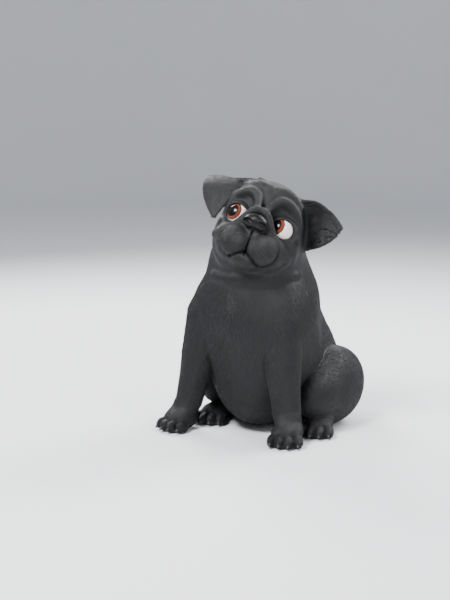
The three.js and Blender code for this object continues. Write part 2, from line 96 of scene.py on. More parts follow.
def turn_matrix(x, y, z, order="XYZ"):
    """Rotation that multiplies the single turns in the order written, in degrees."""
    single = {"X": x, "Y": y, "Z": z}
    out = Matrix.Identity(3)
    for axis in order:
        out = out @ Matrix.Rotation(math.radians(single[axis]), 3, axis)
    return np.array(out)


HEAD_TURN = turn_matrix(-HEAD_LIFT, HEAD_TILT, HEAD_YAW, "ZXY")


def to_head(points):
    return (points - HEAD_CENTRE) @ HEAD_TURN


def from_head(points):
    return np.asarray(points) @ HEAD_TURN.T + HEAD_CENTRE


def eye_centre(side):
    return np.array([side * EYE_HALF_SPACING, EYE_DEPTH, EYE_HEIGHT], float)


def frame_shift():
    """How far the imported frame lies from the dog's own frame, found from the left eye's middle."""
    low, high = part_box("eye_left")
    middle = (np.array(low) + np.array(high)) / 2
    return middle - from_head(eye_centre(1)) / 1000


SHIFT = frame_shift()


def to_frame(points):
    return np.asarray(points) / 1000 + SHIFT


def unit(vectors):
    return vectors / np.maximum(np.linalg.norm(vectors, axis=-1, keepdims=True), 1e-9)


def ramp(values, low, high):
    """0 at low, 1 at high and straight between, with low above high where it runs downward."""
    return np.clip((values - low) / (high - low), 0, 1)


# Distance forms: each takes an array of points and returns how far outside the shape each one lies


def egg(centre, radii, turn=(0, 0, 0)):
    """An egg with its three radii, turned by degrees about its own axes."""
    turned = turn_matrix(*turn)
    centre, radii = np.array(centre, float), np.array(radii, float)

    def distance(p):
        local = (p - centre) @ turned
        near = np.sqrt(((local / radii) ** 2).sum(1))
        slope = np.sqrt(((local / radii**2) ** 2).sum(1))
        return near * (near - 1) / np.maximum(slope, 1e-9)

    return distance


def rope(stations):
    """A round rope through stations [x, y, z, radius], joined by straight tapered lengths."""
    stations = np.array(stations, float)

    def distance(p):
        best = np.full(len(p), 1e9)
        for a, b in zip(stations[:-1], stations[1:]):
            length = b[:3] - a[:3]
            t = np.clip(((p - a[:3]) @ length) / (length @ length), 0, 1)
            gap = np.sqrt(((p - a[:3] - t[:, None] * length) ** 2).sum(1))
            best = np.minimum(best, gap - a[3] - (b[3] - a[3]) * t)
        return best

    return distance


def curve_through(stations, steps):
    """Smooth run of points through the stations, each with its radius or other values."""
    s = np.array(stations, float)
    s = np.vstack([2 * s[0] - s[1], s, 2 * s[-1] - s[-2]])
    out = []
    for t in np.linspace(0, len(s) - 3, steps + 1):
        i = min(int(t), len(s) - 4)
        u = t - i
        a, b, c, d = s[i : i + 4]
        square, cube = 2 * a - 5 * b + 4 * c - d, 3 * b - a - 3 * c + d
        out.append(0.5 * (2 * b + (c - a) * u + square * u**2 + cube * u**3))
    return np.array(out)


def fold(stations, steps=10):
    """A rope along a smooth curve through a few stations."""
    return rope(curve_through(stations, steps))


def soft_min(a, b, k):
    """The lesser of two distances, blended where they differ by less than k."""
    h = np.maximum(k - np.abs(a - b), 0) / k
    return np.minimum(a, b) - h * h * k / 4


def merged(softness, *forms):
    def distance(p):
        d = forms[0](p)
        for form in forms[1:]:
            d = soft_min(d, form(p), softness)
        return d

    return distance


def carved(softness, form, tool):
    return lambda p: -soft_min(-form(p), tool(p), softness)


def mirrored(form):
    """A form of the left side, on both sides."""
    return lambda p: form(np.abs(p) * [1, 0, 0] + p * [0, 1, 1])


FAR_OFF = 30.0


def near(centre, reach, form):
    """Works the form out only within reach of the centre. Further off it is FAR_OFF away or more."""

    def distance(p):
        out = np.sqrt(((p - centre) ** 2).sum(1)) - reach + FAR_OFF
        close = out < FAR_OFF
        if close.any():
            out[close] = form(p[close])
        return out

    return distance


# The dog's masses


def trunk_form():
    """Ribcage, breast, shoulders, belly, rump, back and neck."""
    ribcage = egg((0, 8, 168), (CHEST_HALF_WIDTH, 79, 92), (15, 0, 0))
    breast = egg((0, -40, 186), (56, 40, 60))
    shoulders = mirrored(egg((59, -18, 166), (37, 48, 66), (8, 10, 0)))
    belly = egg((0, 28, 104), (92, 84, 84))
    underbelly = egg((2, 0, 66), (58, 54, 58))
    rump = egg((0, 94, 74), (RUMP_HALF_WIDTH, 68, 77))
    back = rope([(0, 34, 248, 42), (0, 64, 190, 58), (0, 90, 125, 66), (0, 98, 80, 66)])
    thick = NECK_RADIUS
    neck = rope([(-1, 13, 216, thick + 6), (-1, 1, 257, thick), (11, -3, 292, thick - 13)])
    return merged(34, ribcage, breast, shoulders, belly, underbelly, rump, back, neck)


FORELEGS = {
    "left": {
        "shoulder": (60, -28, 178), "elbow": (68, -36, 120), "wrist": (80, -41, 46),
        "paw": (88, -51), "turn": 22,
    },
    "right": {
        "shoulder": (-66, -34, 178), "elbow": (-76, -46, 120), "wrist": (-88, -59, 46),
        "paw": (-94, -72), "turn": -6,
    },
}
HINDLEGS = {
    "left": {"side": 1, "paw": (98, 23), "turn": 20},
    "right": {"side": -1, "paw": (-76, -4), "turn": 8},
}
TOE_SPREAD = PAW_HALF_WIDTH * 2 / 4.1
TOE_PLACES = (-1.5, -0.5, 0.5, 1.5)


def toe_reach(place):
    """Where a toe's middle lies ahead of the paw's: the two inner toes reach further."""
    return -17.5 if abs(place) > 1 else -23.5


def with_paw(softness, limb, palm, leg):
    """A limb merged with its paw: the palm, the ball and four toes, turned and set in place."""
    ball = egg((0, -17, 5), (PAW_HALF_WIDTH * 0.84, 17, 7))
    radii = (PAW_HALF_WIDTH * 0.3, 15.5, 10.8)
    toes = [egg((p * TOE_SPREAD, toe_reach(p), 9.6), radii, (0, 0, p * 7)) for p in TOE_PLACES]
    paw = merged(2, palm, ball, *toes)
    turn, centre = turn_matrix(0, 0, leg["turn"]), np.array([*leg["paw"], 0.0])
    return merged(softness, limb, lambda p: paw((p - centre) @ turn))


def foreleg_form(leg):
    elbow, wrist = np.array(leg["elbow"], float), np.array(leg["wrist"], float)
    middle = (elbow + wrist) / 2
    x, y = leg["paw"]
    thick = FORELEG_RADIUS
    column = rope(
        [
            (*leg["shoulder"], thick + 12), (*elbow, thick + 5), (*middle, thick),
            (*wrist, thick - 3), (x, y + 4, 26, thick - 5),
        ]
    )
    palm = merged(8, egg((0, 5, 17), (22, 25, 17)), egg((0, -9, 19), (23, 18, 14.5)))
    return near(middle, 150, with_paw(9, column, palm, leg))


def thigh_form(side):
    haunch = egg((side * 83, 82, 65), (42, 76, 63), (0, 0, side * -4))
    knee = egg((side * 92, 30, 62), (27, 42, 40), (18, 0, 0))
    return near(np.array([side * 80.0, 66, 64]), 140, merged(18, haunch, knee))


def hind_foot_form(leg):
    x, y = leg["paw"]
    heel = (leg["side"] * 80, 84, 16)
    palm = merged(8, egg((0, 4, 16), (19, 24, 15.5)), egg((0, -9, 17), (20, 18, 13)))
    sole = rope([(x, y + 10, 15, 16), ((x + heel[0]) / 2, (y + heel[1]) / 2, 15, 15.5), (*heel, 17)])
    return near(np.array([x, y + 30.0, 15]), 110, with_paw(8, sole, palm, leg))


# The throat's roll of skin: its reach from the neck's middle, its height, how far it runs to each
# side in degrees, and its radii from side to side
THROAT_REACH = 72
THROAT_HEIGHT = 252
THROAT_HALF_TURN = 56
THROAT_RADII = (6, 9, 10, 9, 6)


def throat_form():
    """A loose roll of skin round the front of the neck, under the chin."""
    stations = []
    for share, radius in zip(np.linspace(-1, 1, len(THROAT_RADII)), THROAT_RADII):
        turn = math.radians(share * THROAT_HALF_TURN)
        angle = turn + math.radians(HEAD_YAW)
        x, y = 1 + THROAT_REACH * math.sin(angle), -3 - THROAT_REACH * math.cos(angle)
        stations.append((x, y, THROAT_HEIGHT - 7 * math.cos(turn), radius))
    return fold(stations)


TAIL_TURNS = 1.1


def tail_stations():
    """Stations of the tail, up from the rump and round in a curl that narrows to its tip."""
    stations = [(0, 128, 62, 20)]
    for t in np.linspace(0, 1, 40):
        angle = math.radians(-100 + 360 * TAIL_TURNS * t)
        swing = 27 - 15 * t
        y, z = 176 + swing * math.cos(angle), 108 + swing * math.sin(angle)
        stations.append((-4 - 44 * t * t, y, z, TAIL_RADIUS * (1 - 0.45 * t)))
    return stations


# The head, in its own frame: the face looks along -y, the crown is +z and the dog's left is +x

# The dark line round the lip pads and up to the nose
LINE_DEPTH = 3.0
LINE_HALF_WIDTH = 0.75
LINE_TOP = -34


def head_form():
    """Skull, cheeks, muzzle and chin with their folds, and the line of the mouth."""
    skull = egg((0, 12, 18), (60, 61, 61))
    brow = egg((0, -20, 32), (49, 36, 40))
    cheeks = mirrored(egg((33, -8, -20), (30, 44, 38)))
    jowls = mirrored(egg((31, -36, -34), (21, 30, 26), (0, 0, 18)))
    muzzle_root = egg((0, -44, -22), (40, 34, 28))
    jaw = egg((0, -26, -46), (40, 40, 20))
    mass = merged(14, skull, brow, cheeks, jowls, muzzle_root, jaw)
    nose_bridge = egg((0, -64, -2), (18, 16, 16))
    sockets = mirrored(egg((34, -38, 6), (24, 18, 23)))
    face = merged(6, mass, nose_bridge, sockets)
    nose_fold = fold(
        [
            (0, -74, 18, 6.5), (11, -72, 14, 7), (19, -68, 2, 7.5),
            (28, -64, -12, 8), (41, -55, -22, 9), (54, -38, -30, 9),
        ]
    )
    eye_frame = fold(
        [
            (7, -69, 20, 6), (11, -60, 33, 6.5), (19, -54, 43, 7.5), (31, -48, 44, 8),
            (44, -39, 35, 8.5), (52, -29, 20, 8.5), (55, -20, 4, 8),
        ],
        16,
    )
    crown_fold = fold([(8, -42, 58, 6), (20, -37, 60, 7), (32, -29, 57, 7), (42, -19, 50, 6)])
    cheek_fold = fold(
        [(56, -26, -8, 7), (57, -20, -22, 8), (51, -20, -42, 9), (37, -26, -57, 10), (18, -32, -63, 9)]
    )
    folds = merged(5, nose_fold, eye_frame, crown_fold, cheek_fold)
    creased = merged(7, face, mirrored(folds))
    pads = mirrored(egg((20.5, -65, -33), (24, 20.5, 24.5), (0, 10, 14)))
    muzzle = merged(4, pads, egg((0, -58, -26), (26, 20, 18)))
    chin = merged(8, egg((0, -62, -54), (23, 17, 13)), egg((0, -40, -56), (27, 26, 13)))
    behind = merged(2.5, creased, chin)

    def distance(p):
        back, front = behind(p), muzzle(p)
        whole = soft_min(back, front, 2.5)
        fading = np.maximum(0, p[:, 2] - LINE_TOP) / 8
        mouth = np.abs(front - back) * 0.7 - LINE_HALF_WIDTH + fading
        beside, along = np.abs(p[:, 0]) - LINE_HALF_WIDTH, np.abs(p[:, 2] + 31) - 19
        middle = np.maximum(np.maximum(beside, along), p[:, 1] + 60)
        line = np.minimum(mouth, middle) + np.maximum(0, -whole - LINE_DEPTH)
        return -soft_min(-whole, line, 1.4)

    return distance


def eye_local(points, side):
    """Points of the head's frame seen from an eye: -y looks out of the opening."""
    return (points - eye_centre(side)) @ turn_matrix(0, 0, side * EYE_TURN_OUT)


# The lids: where the planes of their opening meet, and the angles of the planes
LID_THICKNESS = 2.6
LID_FRONT = -5.0
UPPER_LID = math.radians(62)
LOWER_LID = math.radians(60)


def lid_form():
    """Two lids over each eyeball, open between two planes that meet behind its front."""

    def one(p, side):
        q = eye_local(p, side)
        above = (q[:, 1] - LID_FRONT) * math.sin(UPPER_LID) + q[:, 2] * math.cos(UPPER_LID)
        below = (q[:, 1] - LID_FRONT) * math.sin(LOWER_LID) - q[:, 2] * math.cos(LOWER_LID)
        opening = -soft_min(-above, -below, 3)
        ball = np.sqrt((q**2).sum(1)) - EYE_RADIUS - LID_THICKNESS
        return -soft_min(-ball, opening, 1.2)

    return lambda p: np.minimum(one(p, 1), one(p, -1))


def eyeballs(radius):
    """Both eyeballs, grown or shrunk to a radius."""
    return lambda p: np.minimum(*(np.sqrt(((p - eye_centre(s)) ** 2).sum(1)) - radius for s in (1, -1)))


# The ears: thin leaves that follow a curve from root to tip. Their directions across it are given at
# even steps along the curve, and EAR_CUP is how far the edges bend at the root.
EAR_CUP = 11
EAR_WIDEST = 0.35
EAR_REACH = 62
EAR_HALF_THICKNESS = 1.6
EARS = {
    "left": {
        "line": [(40, 8, 27), (56, 10, 32), (70, 4, 35), (84, -5, 36), (98, -11, 39), (110, -14, 43)],
        "across": [(-0.4, -0.1, 0.92), (-0.35, 0, 0.94)],
    },
    "right": {
        "line": [
            (-38, 16, 42), (-53, 12, 53), (-67, -2, 60), (-75, -16, 54),
            (-79, -28, 39), (-76, -36, 18), (-69, -40, -6),
        ],
        "across": [(-0.9, 0.1, -0.3), (-0.97, 0, -0.12), (-0.95, 0.2, -0.15), (-0.85, 0.3, -0.42)],
    },
}


def ear_sheet(ear, rows=64, columns=44):
    """Points of an ear's middle sheet with its outward normals and its root-to-tip direction."""
    line = curve_through(ear["line"], rows)
    along = np.gradient(line, axis=0)
    along /= np.linalg.norm(along, axis=1)[:, None]
    v = np.linspace(0, 1, rows + 1)[:, None]
    keys = unit(np.array(ear["across"], float))
    place = np.linspace(0, 1, len(keys))
    sideways = np.stack([np.interp(v[:, 0], place, keys[:, axis]) for axis in range(3)], -1)
    backward = np.cross(sideways, along)
    backward /= np.linalg.norm(backward, axis=1)[:, None]
    sideways = np.cross(along, backward)
    past = np.maximum(0, v - EAR_WIDEST) / (1 - EAR_WIDEST)
    half = EAR_HALF_WIDTH * np.maximum(0.05, (1 - past**1.6) ** 0.8)
    u = np.linspace(-1, 1, columns + 1)
    points, normals, flows = [], [], []
    for across in u:
        cup = EAR_CUP * (1 - v) * across**2
        points.append(line + sideways * half * across - backward * cup)
        normals.append(backward)
        flows.append(along)
    return (np.concatenate(part) for part in (points, normals, flows))


def ear_form(ear):
    """Distance to the bent sheet of an ear, by the nearest of its points."""
    points, normals, _ = ear_sheet(ear)
    tree = KDTree(len(points))
    for i, point in enumerate(points):
        tree.insert(point, i)
    tree.balance()
    spacing = 1.4

    def distance(p):
        nearest = np.array([tree.find(q)[1] for q in p], int) if len(p) else np.zeros(0, int)
        gap = p - points[nearest]
        height = (gap * normals[nearest]).sum(1)
        beside = np.sqrt(np.maximum((gap**2).sum(1) - height**2, 0))
        return np.sqrt(height**2 + np.maximum(beside - spacing, 0) ** 2) - EAR_HALF_THICKNESS

    return near(points.mean(0), EAR_REACH, distance)


# Depth of the coat over the skin, and the creases between the limbs and the trunk
BODY_COAT = 1.8
FOOT_COAT = 0.8
HEAD_COAT = 0.7
CREASE_DEPTH = 2.2
CREASE_HALF_WIDTH = 5.0


def creased_to(body, limb, soft, depth):
    """A limb merged into the body, with a shallow crease where the two meet."""
    meeting = np.clip(1 - np.abs(limb - body) / CREASE_HALF_WIDTH, 0, 1)
    return soft_min(body, limb, soft) + depth * meeting**2


def skin_form():
    """The whole flesh, drawn in by the depth of the coat, with the ears, lids and eye sockets."""
    head = head_form()
    ears = merged(3, *(ear_form(ear) for ear in EARS.values()))
    lids = lid_form()
    throat = near(np.array([2.0, -8, 262]), 110, throat_form())
    balls = eyeballs(EYE_RADIUS + 0.3)

    def dressed_head(p):
        q = to_head(p)
        return soft_min(head(q) + HEAD_COAT, ears(q), 7)

    def lidded(p, d):
        close = np.flatnonzero(np.sqrt(((p - HEAD_CENTRE) ** 2).sum(1)) < 110)
        q = to_head(p[close])
        with_lids = soft_min(d[close], lids(q), 2.5)
        d[close] = -soft_min(-with_lids, balls(q), 0.6)
        return d

    trunk = trunk_form()
    limbs = [foreleg_form(leg) for leg in FORELEGS.values()]
    hind = [thigh_form(1), thigh_form(-1)]
    feet = [hind_foot_form(leg) for leg in HINDLEGS.values()]
    tail = near(np.array([-20.0, 170, 100]), 90, rope(tail_stations()))
    head_near = near(HEAD_CENTRE, 165, dressed_head)

    def distance(p):
        body = trunk(p)
        inset = BODY_COAT - (BODY_COAT - FOOT_COAT) * ramp(p[:, 2], 60, 20)
        for limb in limbs:
            body = creased_to(body, limb(p), 7, CREASE_DEPTH * ramp(p[:, 2], 165, 130))
        for thigh in hind:
            body = creased_to(body, thigh(p), 8, 0.7 * CREASE_DEPTH)
        for foot in feet:
            body = soft_min(body, foot(p), 4)
        body = soft_min(body, tail(p), 5) + inset
        whole = soft_min(soft_min(body, head_near(p), 16), throat(p) + BODY_COAT, 8)
        return lidded(p, whole)

    return distance


# Net over a form


def spaced(ends, step, fine_ends, fine_step):
    """Lines from end to end, with a stretch of closer lines."""
    (low, high), (fine_low, fine_high) = ends, fine_ends
    lines = []
    for start, stop, spacing in (
        (low, fine_low, step), (fine_low, fine_high, fine_step), (fine_high, high, step),
    ):
        count = max(2, round((stop - start) / spacing))
        lines.append(np.linspace(start, stop, count, endpoint=False))
    return np.append(np.concatenate(lines[:2]), np.linspace(fine_high, high, count + 1))


def padded(line, stride):
    """The line with as many more steps as it takes to make a whole number of strides."""
    missing = -(len(line) - 1) % stride
    return np.concatenate([line, line[-1] + (line[-1] - line[-2]) * np.arange(1, 1 + missing)])


CELL_CORNERS = list(product((0, 1), repeat=3))


def toward(corner, shape):
    """The slices that leave out one layer of a grid on each axis, so that a cell meets that corner."""
    return tuple(slice(c, n - 1 + c) for c, n in zip(corner, shape))


def band_values(form, lines):
    """The form at every crossing of the grid lines, worked out only near the surface."""
    stride, deep = 4, 50.0
    lines = [padded(line, stride) for line in lines]
    rough = [line[::stride] for line in lines]
    grid = np.stack(np.meshgrid(*rough, indexing="ij"), -1)
    shape = grid.shape[:3]
    coarse = form(grid.reshape(-1, 3)).reshape(shape)
    reach = np.sqrt(sum(np.meshgrid(*[np.diff(r) ** 2 for r in rough], indexing="ij")))
    corners = [coarse[toward(corner, shape)] for corner in CELL_CORNERS]
    closest = np.min([np.abs(c) for c in corners], axis=0)
    mixed = (np.min(corners, axis=0) < 0) & (np.max(corners, axis=0) > 0)
    wanted = mixed | (closest < reach * 0.8)
    grown = np.zeros(shape, bool)
    for corner in CELL_CORNERS:
        grown[toward(corner, shape)] |= wanted
    index = [np.arange(len(line)) // stride for line in lines]
    picked = np.ix_(*index)
    value = np.where(coarse[picked] < 0, -deep, deep).astype(np.float32)
    where = np.nonzero(grown[picked])
    points = np.stack([lines[axis][where[axis]] for axis in range(3)], -1)
    value[where] = np.concatenate([form(part) for part in np.array_split(points, 8)])
    return value, lines


def gradient(form, points, probe=0.35):
    """The form at each point, and how it changes along each axis."""
    here = form(points)
    slope = np.stack([(form(points + step) - here) / probe for step in np.eye(3) * probe], -1)
    return here, slope


def net(form, lines):
    """Points in the cells that the surface crosses, and a square across each crossed grid edge."""
    value, lines = band_values(form, lines)
    shape = np.array(value.shape)
    inside = value < 0
    stride = np.array([shape[1] * shape[2], shape[2], 1])
    cell_ids, crossing, squares = [], [], []
    for axis in range(3):
        others = [a for a in range(3) if a != axis]
        low = [slice(None)] * 3
        high = [slice(None)] * 3
        low[axis], high[axis] = slice(0, -1), slice(1, None)
        edge = np.stack(np.nonzero(inside[tuple(low)] != inside[tuple(high)]), -1)
        edge = edge[(edge[:, others[0]] > 0) & (edge[:, others[1]] > 0)]
        end = edge.copy()
        end[:, axis] += 1
        a, b = value[tuple(edge.T)], value[tuple(end.T)]
        t = a / (a - b)
        point = np.stack([lines[k][edge[:, k]] for k in range(3)], -1)
        point[:, axis] += (lines[axis][end[:, axis]] - lines[axis][edge[:, axis]]) * t
        base = edge @ stride
        back, side = stride[others[0]], stride[others[1]]
        ring = [base - back - side, base - side, base, base - back]
        for cell in ring:
            cell_ids.append(cell)
            crossing.append(point)
        quad = np.stack(ring, -1)
        flip = (a < 0) != (axis != 1)
        quad[flip] = quad[flip][:, ::-1]
        squares.append(quad)
    ids = np.concatenate(cell_ids)
    crossing = np.concatenate(crossing)
    cells, compact, count = np.unique(ids, return_inverse=True, return_counts=True)
    points = np.stack([np.bincount(compact, crossing[:, k]) / count for k in range(3)], -1)
    faces = np.searchsorted(cells, np.concatenate(squares))
    low_corner = np.stack(np.unravel_index(cells, shape), -1)
    room = np.stack([np.diff(lines[k])[low_corner[:, k]] for k in range(3)], -1)
    d, slope = gradient(form, points)
    steep = np.maximum(0.3, (slope**2).sum(1))
    step = -(d / steep)[:, None] * slope
    points = points + np.clip(step, -0.45 * room, 0.45 * room)
    return points, faces, slope / np.sqrt(steep)[:, None]


# Meshes and materials


def mesh_object(name, points, faces, material, smooth=True):
    """A mesh from points in the dog's frame and faces that all have the same number of corners."""
    faces = np.asarray(faces, np.int32)
    mesh = bpy.data.meshes.new(name)
    mesh.vertices.add(len(points))
    mesh.vertices.foreach_set("co", to_frame(points).astype(np.float32).ravel())
    mesh.loops.add(faces.size)
    mesh.loops.foreach_set("vertex_index", faces.ravel())
    mesh.polygons.add(len(faces))
    mesh.polygons.foreach_set("loop_start", np.arange(0, faces.size, faces.shape[1], dtype=np.int32))
    mesh.polygons.foreach_set("use_smooth", np.full(len(faces), smooth))
    mesh.update(calc_edges=True)
    if mesh.validate():
        raise RuntimeError(f"{name} had faces that Blender can't use")
    mesh.materials.append(material)
    piece = bpy.data.objects.new(name, mesh)
    bpy.context.scene.collection.objects.link(piece)
    return piece


def ring_quads(steps, sides):
    """Squares between each ring of points and the next, for rings with the same number of points."""
    i, j = np.meshgrid(np.arange(steps), np.arange(sides), indexing="ij")
    low, high, k = i * sides, (i + 1) * sides, (j + 1) % sides
    return np.stack([low + j, high + j, high + k, low + k], -1).reshape(-1, 4)


def new_material(name):
    material = bpy.data.materials.new(name)
    material.use_nodes = True
    return material, material.node_tree, material.node_tree.nodes["Principled BSDF"]


def new_group(name, inputs, outputs):
    """An empty shader group with the given sockets, as (name, kind, default) and (name, kind)."""
    tree = bpy.data.node_groups.new(name, "ShaderNodeTree")
    for socket_name, kind, default in inputs:
        socket = tree.interface.new_socket(socket_name, in_out="INPUT", socket_type="NodeSocket" + kind)
        if default is not None:
            socket.default_value = default
    for socket_name, kind in outputs:
        tree.interface.new_socket(socket_name, in_out="OUTPUT", socket_type="NodeSocket" + kind)
    return tree, tree.nodes.new("NodeGroupInput").outputs, tree.nodes.new("NodeGroupOutput")


def feed(node, inputs):
    """Gives a node's inputs, by name or number, a value or the output of another node."""
    for key, value in inputs.items():
        if isinstance(value, bpy.types.NodeSocket):
            node.id_data.links.new(value, node.inputs[key])
        else:
            node.inputs[key].default_value = value
    return node


def add_node(tree, kind, inputs, **properties):
    node = tree.nodes.new("ShaderNode" + kind)
    for name, value in properties.items():
        setattr(node, name, value)
    return feed(node, inputs)


def math_node(tree, operation, a, b=0.0, clamp=False):
    return add_node(tree, "Math", {0: a, 1: b}, operation=operation, use_clamp=clamp).outputs[0]


def raised(tree, low, value, span):
    """low, and more by a share of the value."""
    return math_node(tree, "ADD", low, math_node(tree, "MULTIPLY", value, span))


def mix_node(tree, factor, a, b):
    """Two colours mixed by a factor, each a socket or three numbers."""
    a, b = ((*colour, 1) if isinstance(colour, tuple) else colour for colour in (a, b))
    return add_node(tree, "Mix", {0: factor, 6: a, 7: b}, data_type="RGBA").outputs[2]


def noise_node(tree, vector, scale, detail, roughness=0.5):
    inputs = {"Vector": vector, "Scale": scale, "Detail": detail, "Roughness": roughness}
    return add_node(tree, "TexNoise", inputs).outputs["Fac"]


def ramp_between(tree, value, low, high):
    """Runs smoothly from 0 at low to 1 at high."""
    inputs = {"Value": value, "From Min": low, "From Max": high}
    return add_node(tree, "MapRange", inputs, interpolation_type="SMOOTHSTEP").outputs["Result"]


def kept_value(tree, name, output="Fac"):
    """A value that store() put on the mesh."""
    return add_node(tree, "Attribute", {}, attribute_name=name).outputs[output]


def object_place(tree):
    return add_node(tree, "TexCoord", {}).outputs["Object"]


def bump_node(tree, height, strength, distance):
    inputs = {"Height": height, "Strength": strength, "Distance": distance}
    return add_node(tree, "Bump", inputs).outputs["Normal"]


def along_lie(tree, place, lie, stretch):
    """The place with its part along the lie of the hair shortened, so that noise runs in strands."""
    dot = add_node(tree, "VectorMath", {0: place, 1: lie}, operation="DOT_PRODUCT")
    share = math_node(tree, "MULTIPLY", dot.outputs["Value"], stretch)
    part = add_node(tree, "VectorMath", {0: lie, "Scale": share}, operation="SCALE")
    inputs = {0: place, 1: part.outputs["Vector"]}
    return add_node(tree, "VectorMath", inputs, operation="SUBTRACT").outputs["Vector"]


def coat_group():
    """Colours of the coat: near black, with greyer hair in soft patches and toward each tuft's tip, and
    darker toward each tuft's root, which is painted shade among the hairs.
    """
    tree, entry, exit_node = new_group(
        "Coat colour",
        [
            ("Dark", "Color", (0.01, 0.01, 0.011, 1)),
            ("Light", "Color", (0.06, 0.06, 0.065, 1)),
            ("Tip", "Float", 0.0),
            ("Lie", "Vector", (0.0, 0.0, -1.0)),
            ("Bare", "Float", 0.0),
        ],
        [("Color", "Color"), ("Roughness", "Float"), ("Height", "Float")],
    )
    place = object_place(tree)
    patches = noise_node(tree, place, 22, 3)
    hairs = noise_node(tree, along_lie(tree, place, entry["Lie"], 0.88), 1100, 2, 0.6)
    # The Tip share lightens each tuft toward its tip; its dark low end at the root is painted shade among
    # the hairs.
    share = raised(tree, math_node(tree, "MULTIPLY", entry["Tip"], 0.75), patches, 0.3)
    share = math_node(tree, "ADD", share, math_node(tree, "MULTIPLY", hairs, 0.25), True)
    hair = mix_node(tree, share, entry["Dark"], entry["Light"])
    colour = mix_node(tree, entry["Bare"], hair, (0.001, 0.001, 0.0012))
    gloss = math_node(tree, "MULTIPLY", entry["Bare"], 0.18)
    rough = math_node(tree, "SUBTRACT", raised(tree, 0.42, hairs, 0.25), gloss)
    feed(exit_node, {"Color": colour, "Roughness": rough, "Height": hairs})
    return tree


def coat_material(name, settings, on_tufts):
    """Black short hair. The tufts lighten toward their tips and darken toward their roots, the dark roots
    being painted shade among the hairs; the skin under them has a fine bump.
    """
    material, tree, shader = new_material(name)
    colours = bpy.data.node_groups.get("Coat colour") or coat_group()
    inputs = {"Dark": (*settings.dark, 1), "Light": (*settings.light, 1)}
    group = add_node(tree, "Group", inputs, node_tree=colours)
    feed(group, {"Lie": kept_value(tree, "lie", "Vector")})
    feed(shader, {"Base Color": group.outputs["Color"], "Roughness": group.outputs["Roughness"]})
    feed(shader, {"Specular IOR Level": 0.3, "Sheen Weight": settings.sheen})
    feed(shader, {"Sheen Roughness": 0.4, "Sheen Tint": (0.75, 0.78, 0.85, 1)})
    if on_tufts:
        feed(group, {"Tip": kept_value(tree, "tip")})
    else:
        feed(group, {"Bare": kept_value(tree, "bare")})
        feed(shader, {"Normal": bump_node(tree, group.outputs["Height"], 0.5, 0.0006)})
    return material


def store(piece, name, values):
    """Keeps a number or a vector for each point of a mesh under a name that materials can read."""
    values = np.asarray(values, np.float32)
    kind, field = ("FLOAT_VECTOR", "vector") if values.ndim == 2 else ("FLOAT", "value")
    attribute = piece.data.attributes.new(name, kind, "POINT")
    attribute.data.foreach_set(field, values.ravel())


def unwrap(piece):
    """Flattens the skin's own shape into the OFBake map."""
    piece.data.uv_layers.new(name="OFBake")
    context = bpy.context
    for other in context.selected_objects:
        other.select_set(False)
    context.view_layer.objects.active = piece
    piece.select_set(True)
    bpy.ops.object.mode_set(mode="EDIT")
    bpy.ops.mesh.select_all(action="SELECT")
    bpy.ops.uv.smart_project(angle_limit=math.radians(66), island_margin=0.002)
    bpy.ops.object.mode_set(mode="OBJECT")


# The lie of the coat

# The plane where the coat of the head ends, in the head's frame
NECK_PLANE_POINT = (0, -26, -70)
NECK_PLANE_OUT = (0, -0.5, 0.866)
HEAD_REACH = 150
NOSE_POINT = (0, -86, -4)
TAIL_START = 130
TAIL_REACH = 22


def near_line(points, line):
    """Index of the closest point of a line and the distance to it, for each point."""
    gaps = np.stack([((points - station) ** 2).sum(1) for station in line], -1)
    closest = gaps.argmin(1)
    return closest, np.sqrt(gaps[np.arange(len(points)), closest])


def is_on_head(q):
    """True in front of the plane where the head meets the neck, for points of the head's frame."""
    ahead = (q - NECK_PLANE_POINT) @ NECK_PLANE_OUT > 0
    return ahead & (np.linalg.norm(q, axis=1) < HEAD_REACH)


def ear_lie(q):
    """Which ear each point of the head lies on, 0 for none, with the ear's root-to-tip direction."""
    which = np.zeros(len(q), int)
    lie = np.zeros((len(q), 3))
    for number, ear in enumerate(EARS.values(), 1):
        points, _, along = ear_sheet(ear, 24, 12)
        line = curve_through(ear["line"], 24)
        close = np.flatnonzero(np.linalg.norm(q - points.mean(0), axis=1) < EAR_REACH)
        gaps = np.linalg.norm(q[close][:, None] - points[None], axis=2)
        nearest = gaps.argmin(1)
        found = close[(gaps.min(1) < 4.5) & (np.linalg.norm(points[nearest] - line[0], axis=1) > 12)]
        which[found] = number
        lie[close] = along[nearest]
    return which, lie


def facing_up(normals):
    """0 on upright and overhanging faces, 1 on those that face well up, as a column."""
    return np.clip(normals[:, 2:] * 1.6, 0, 1)


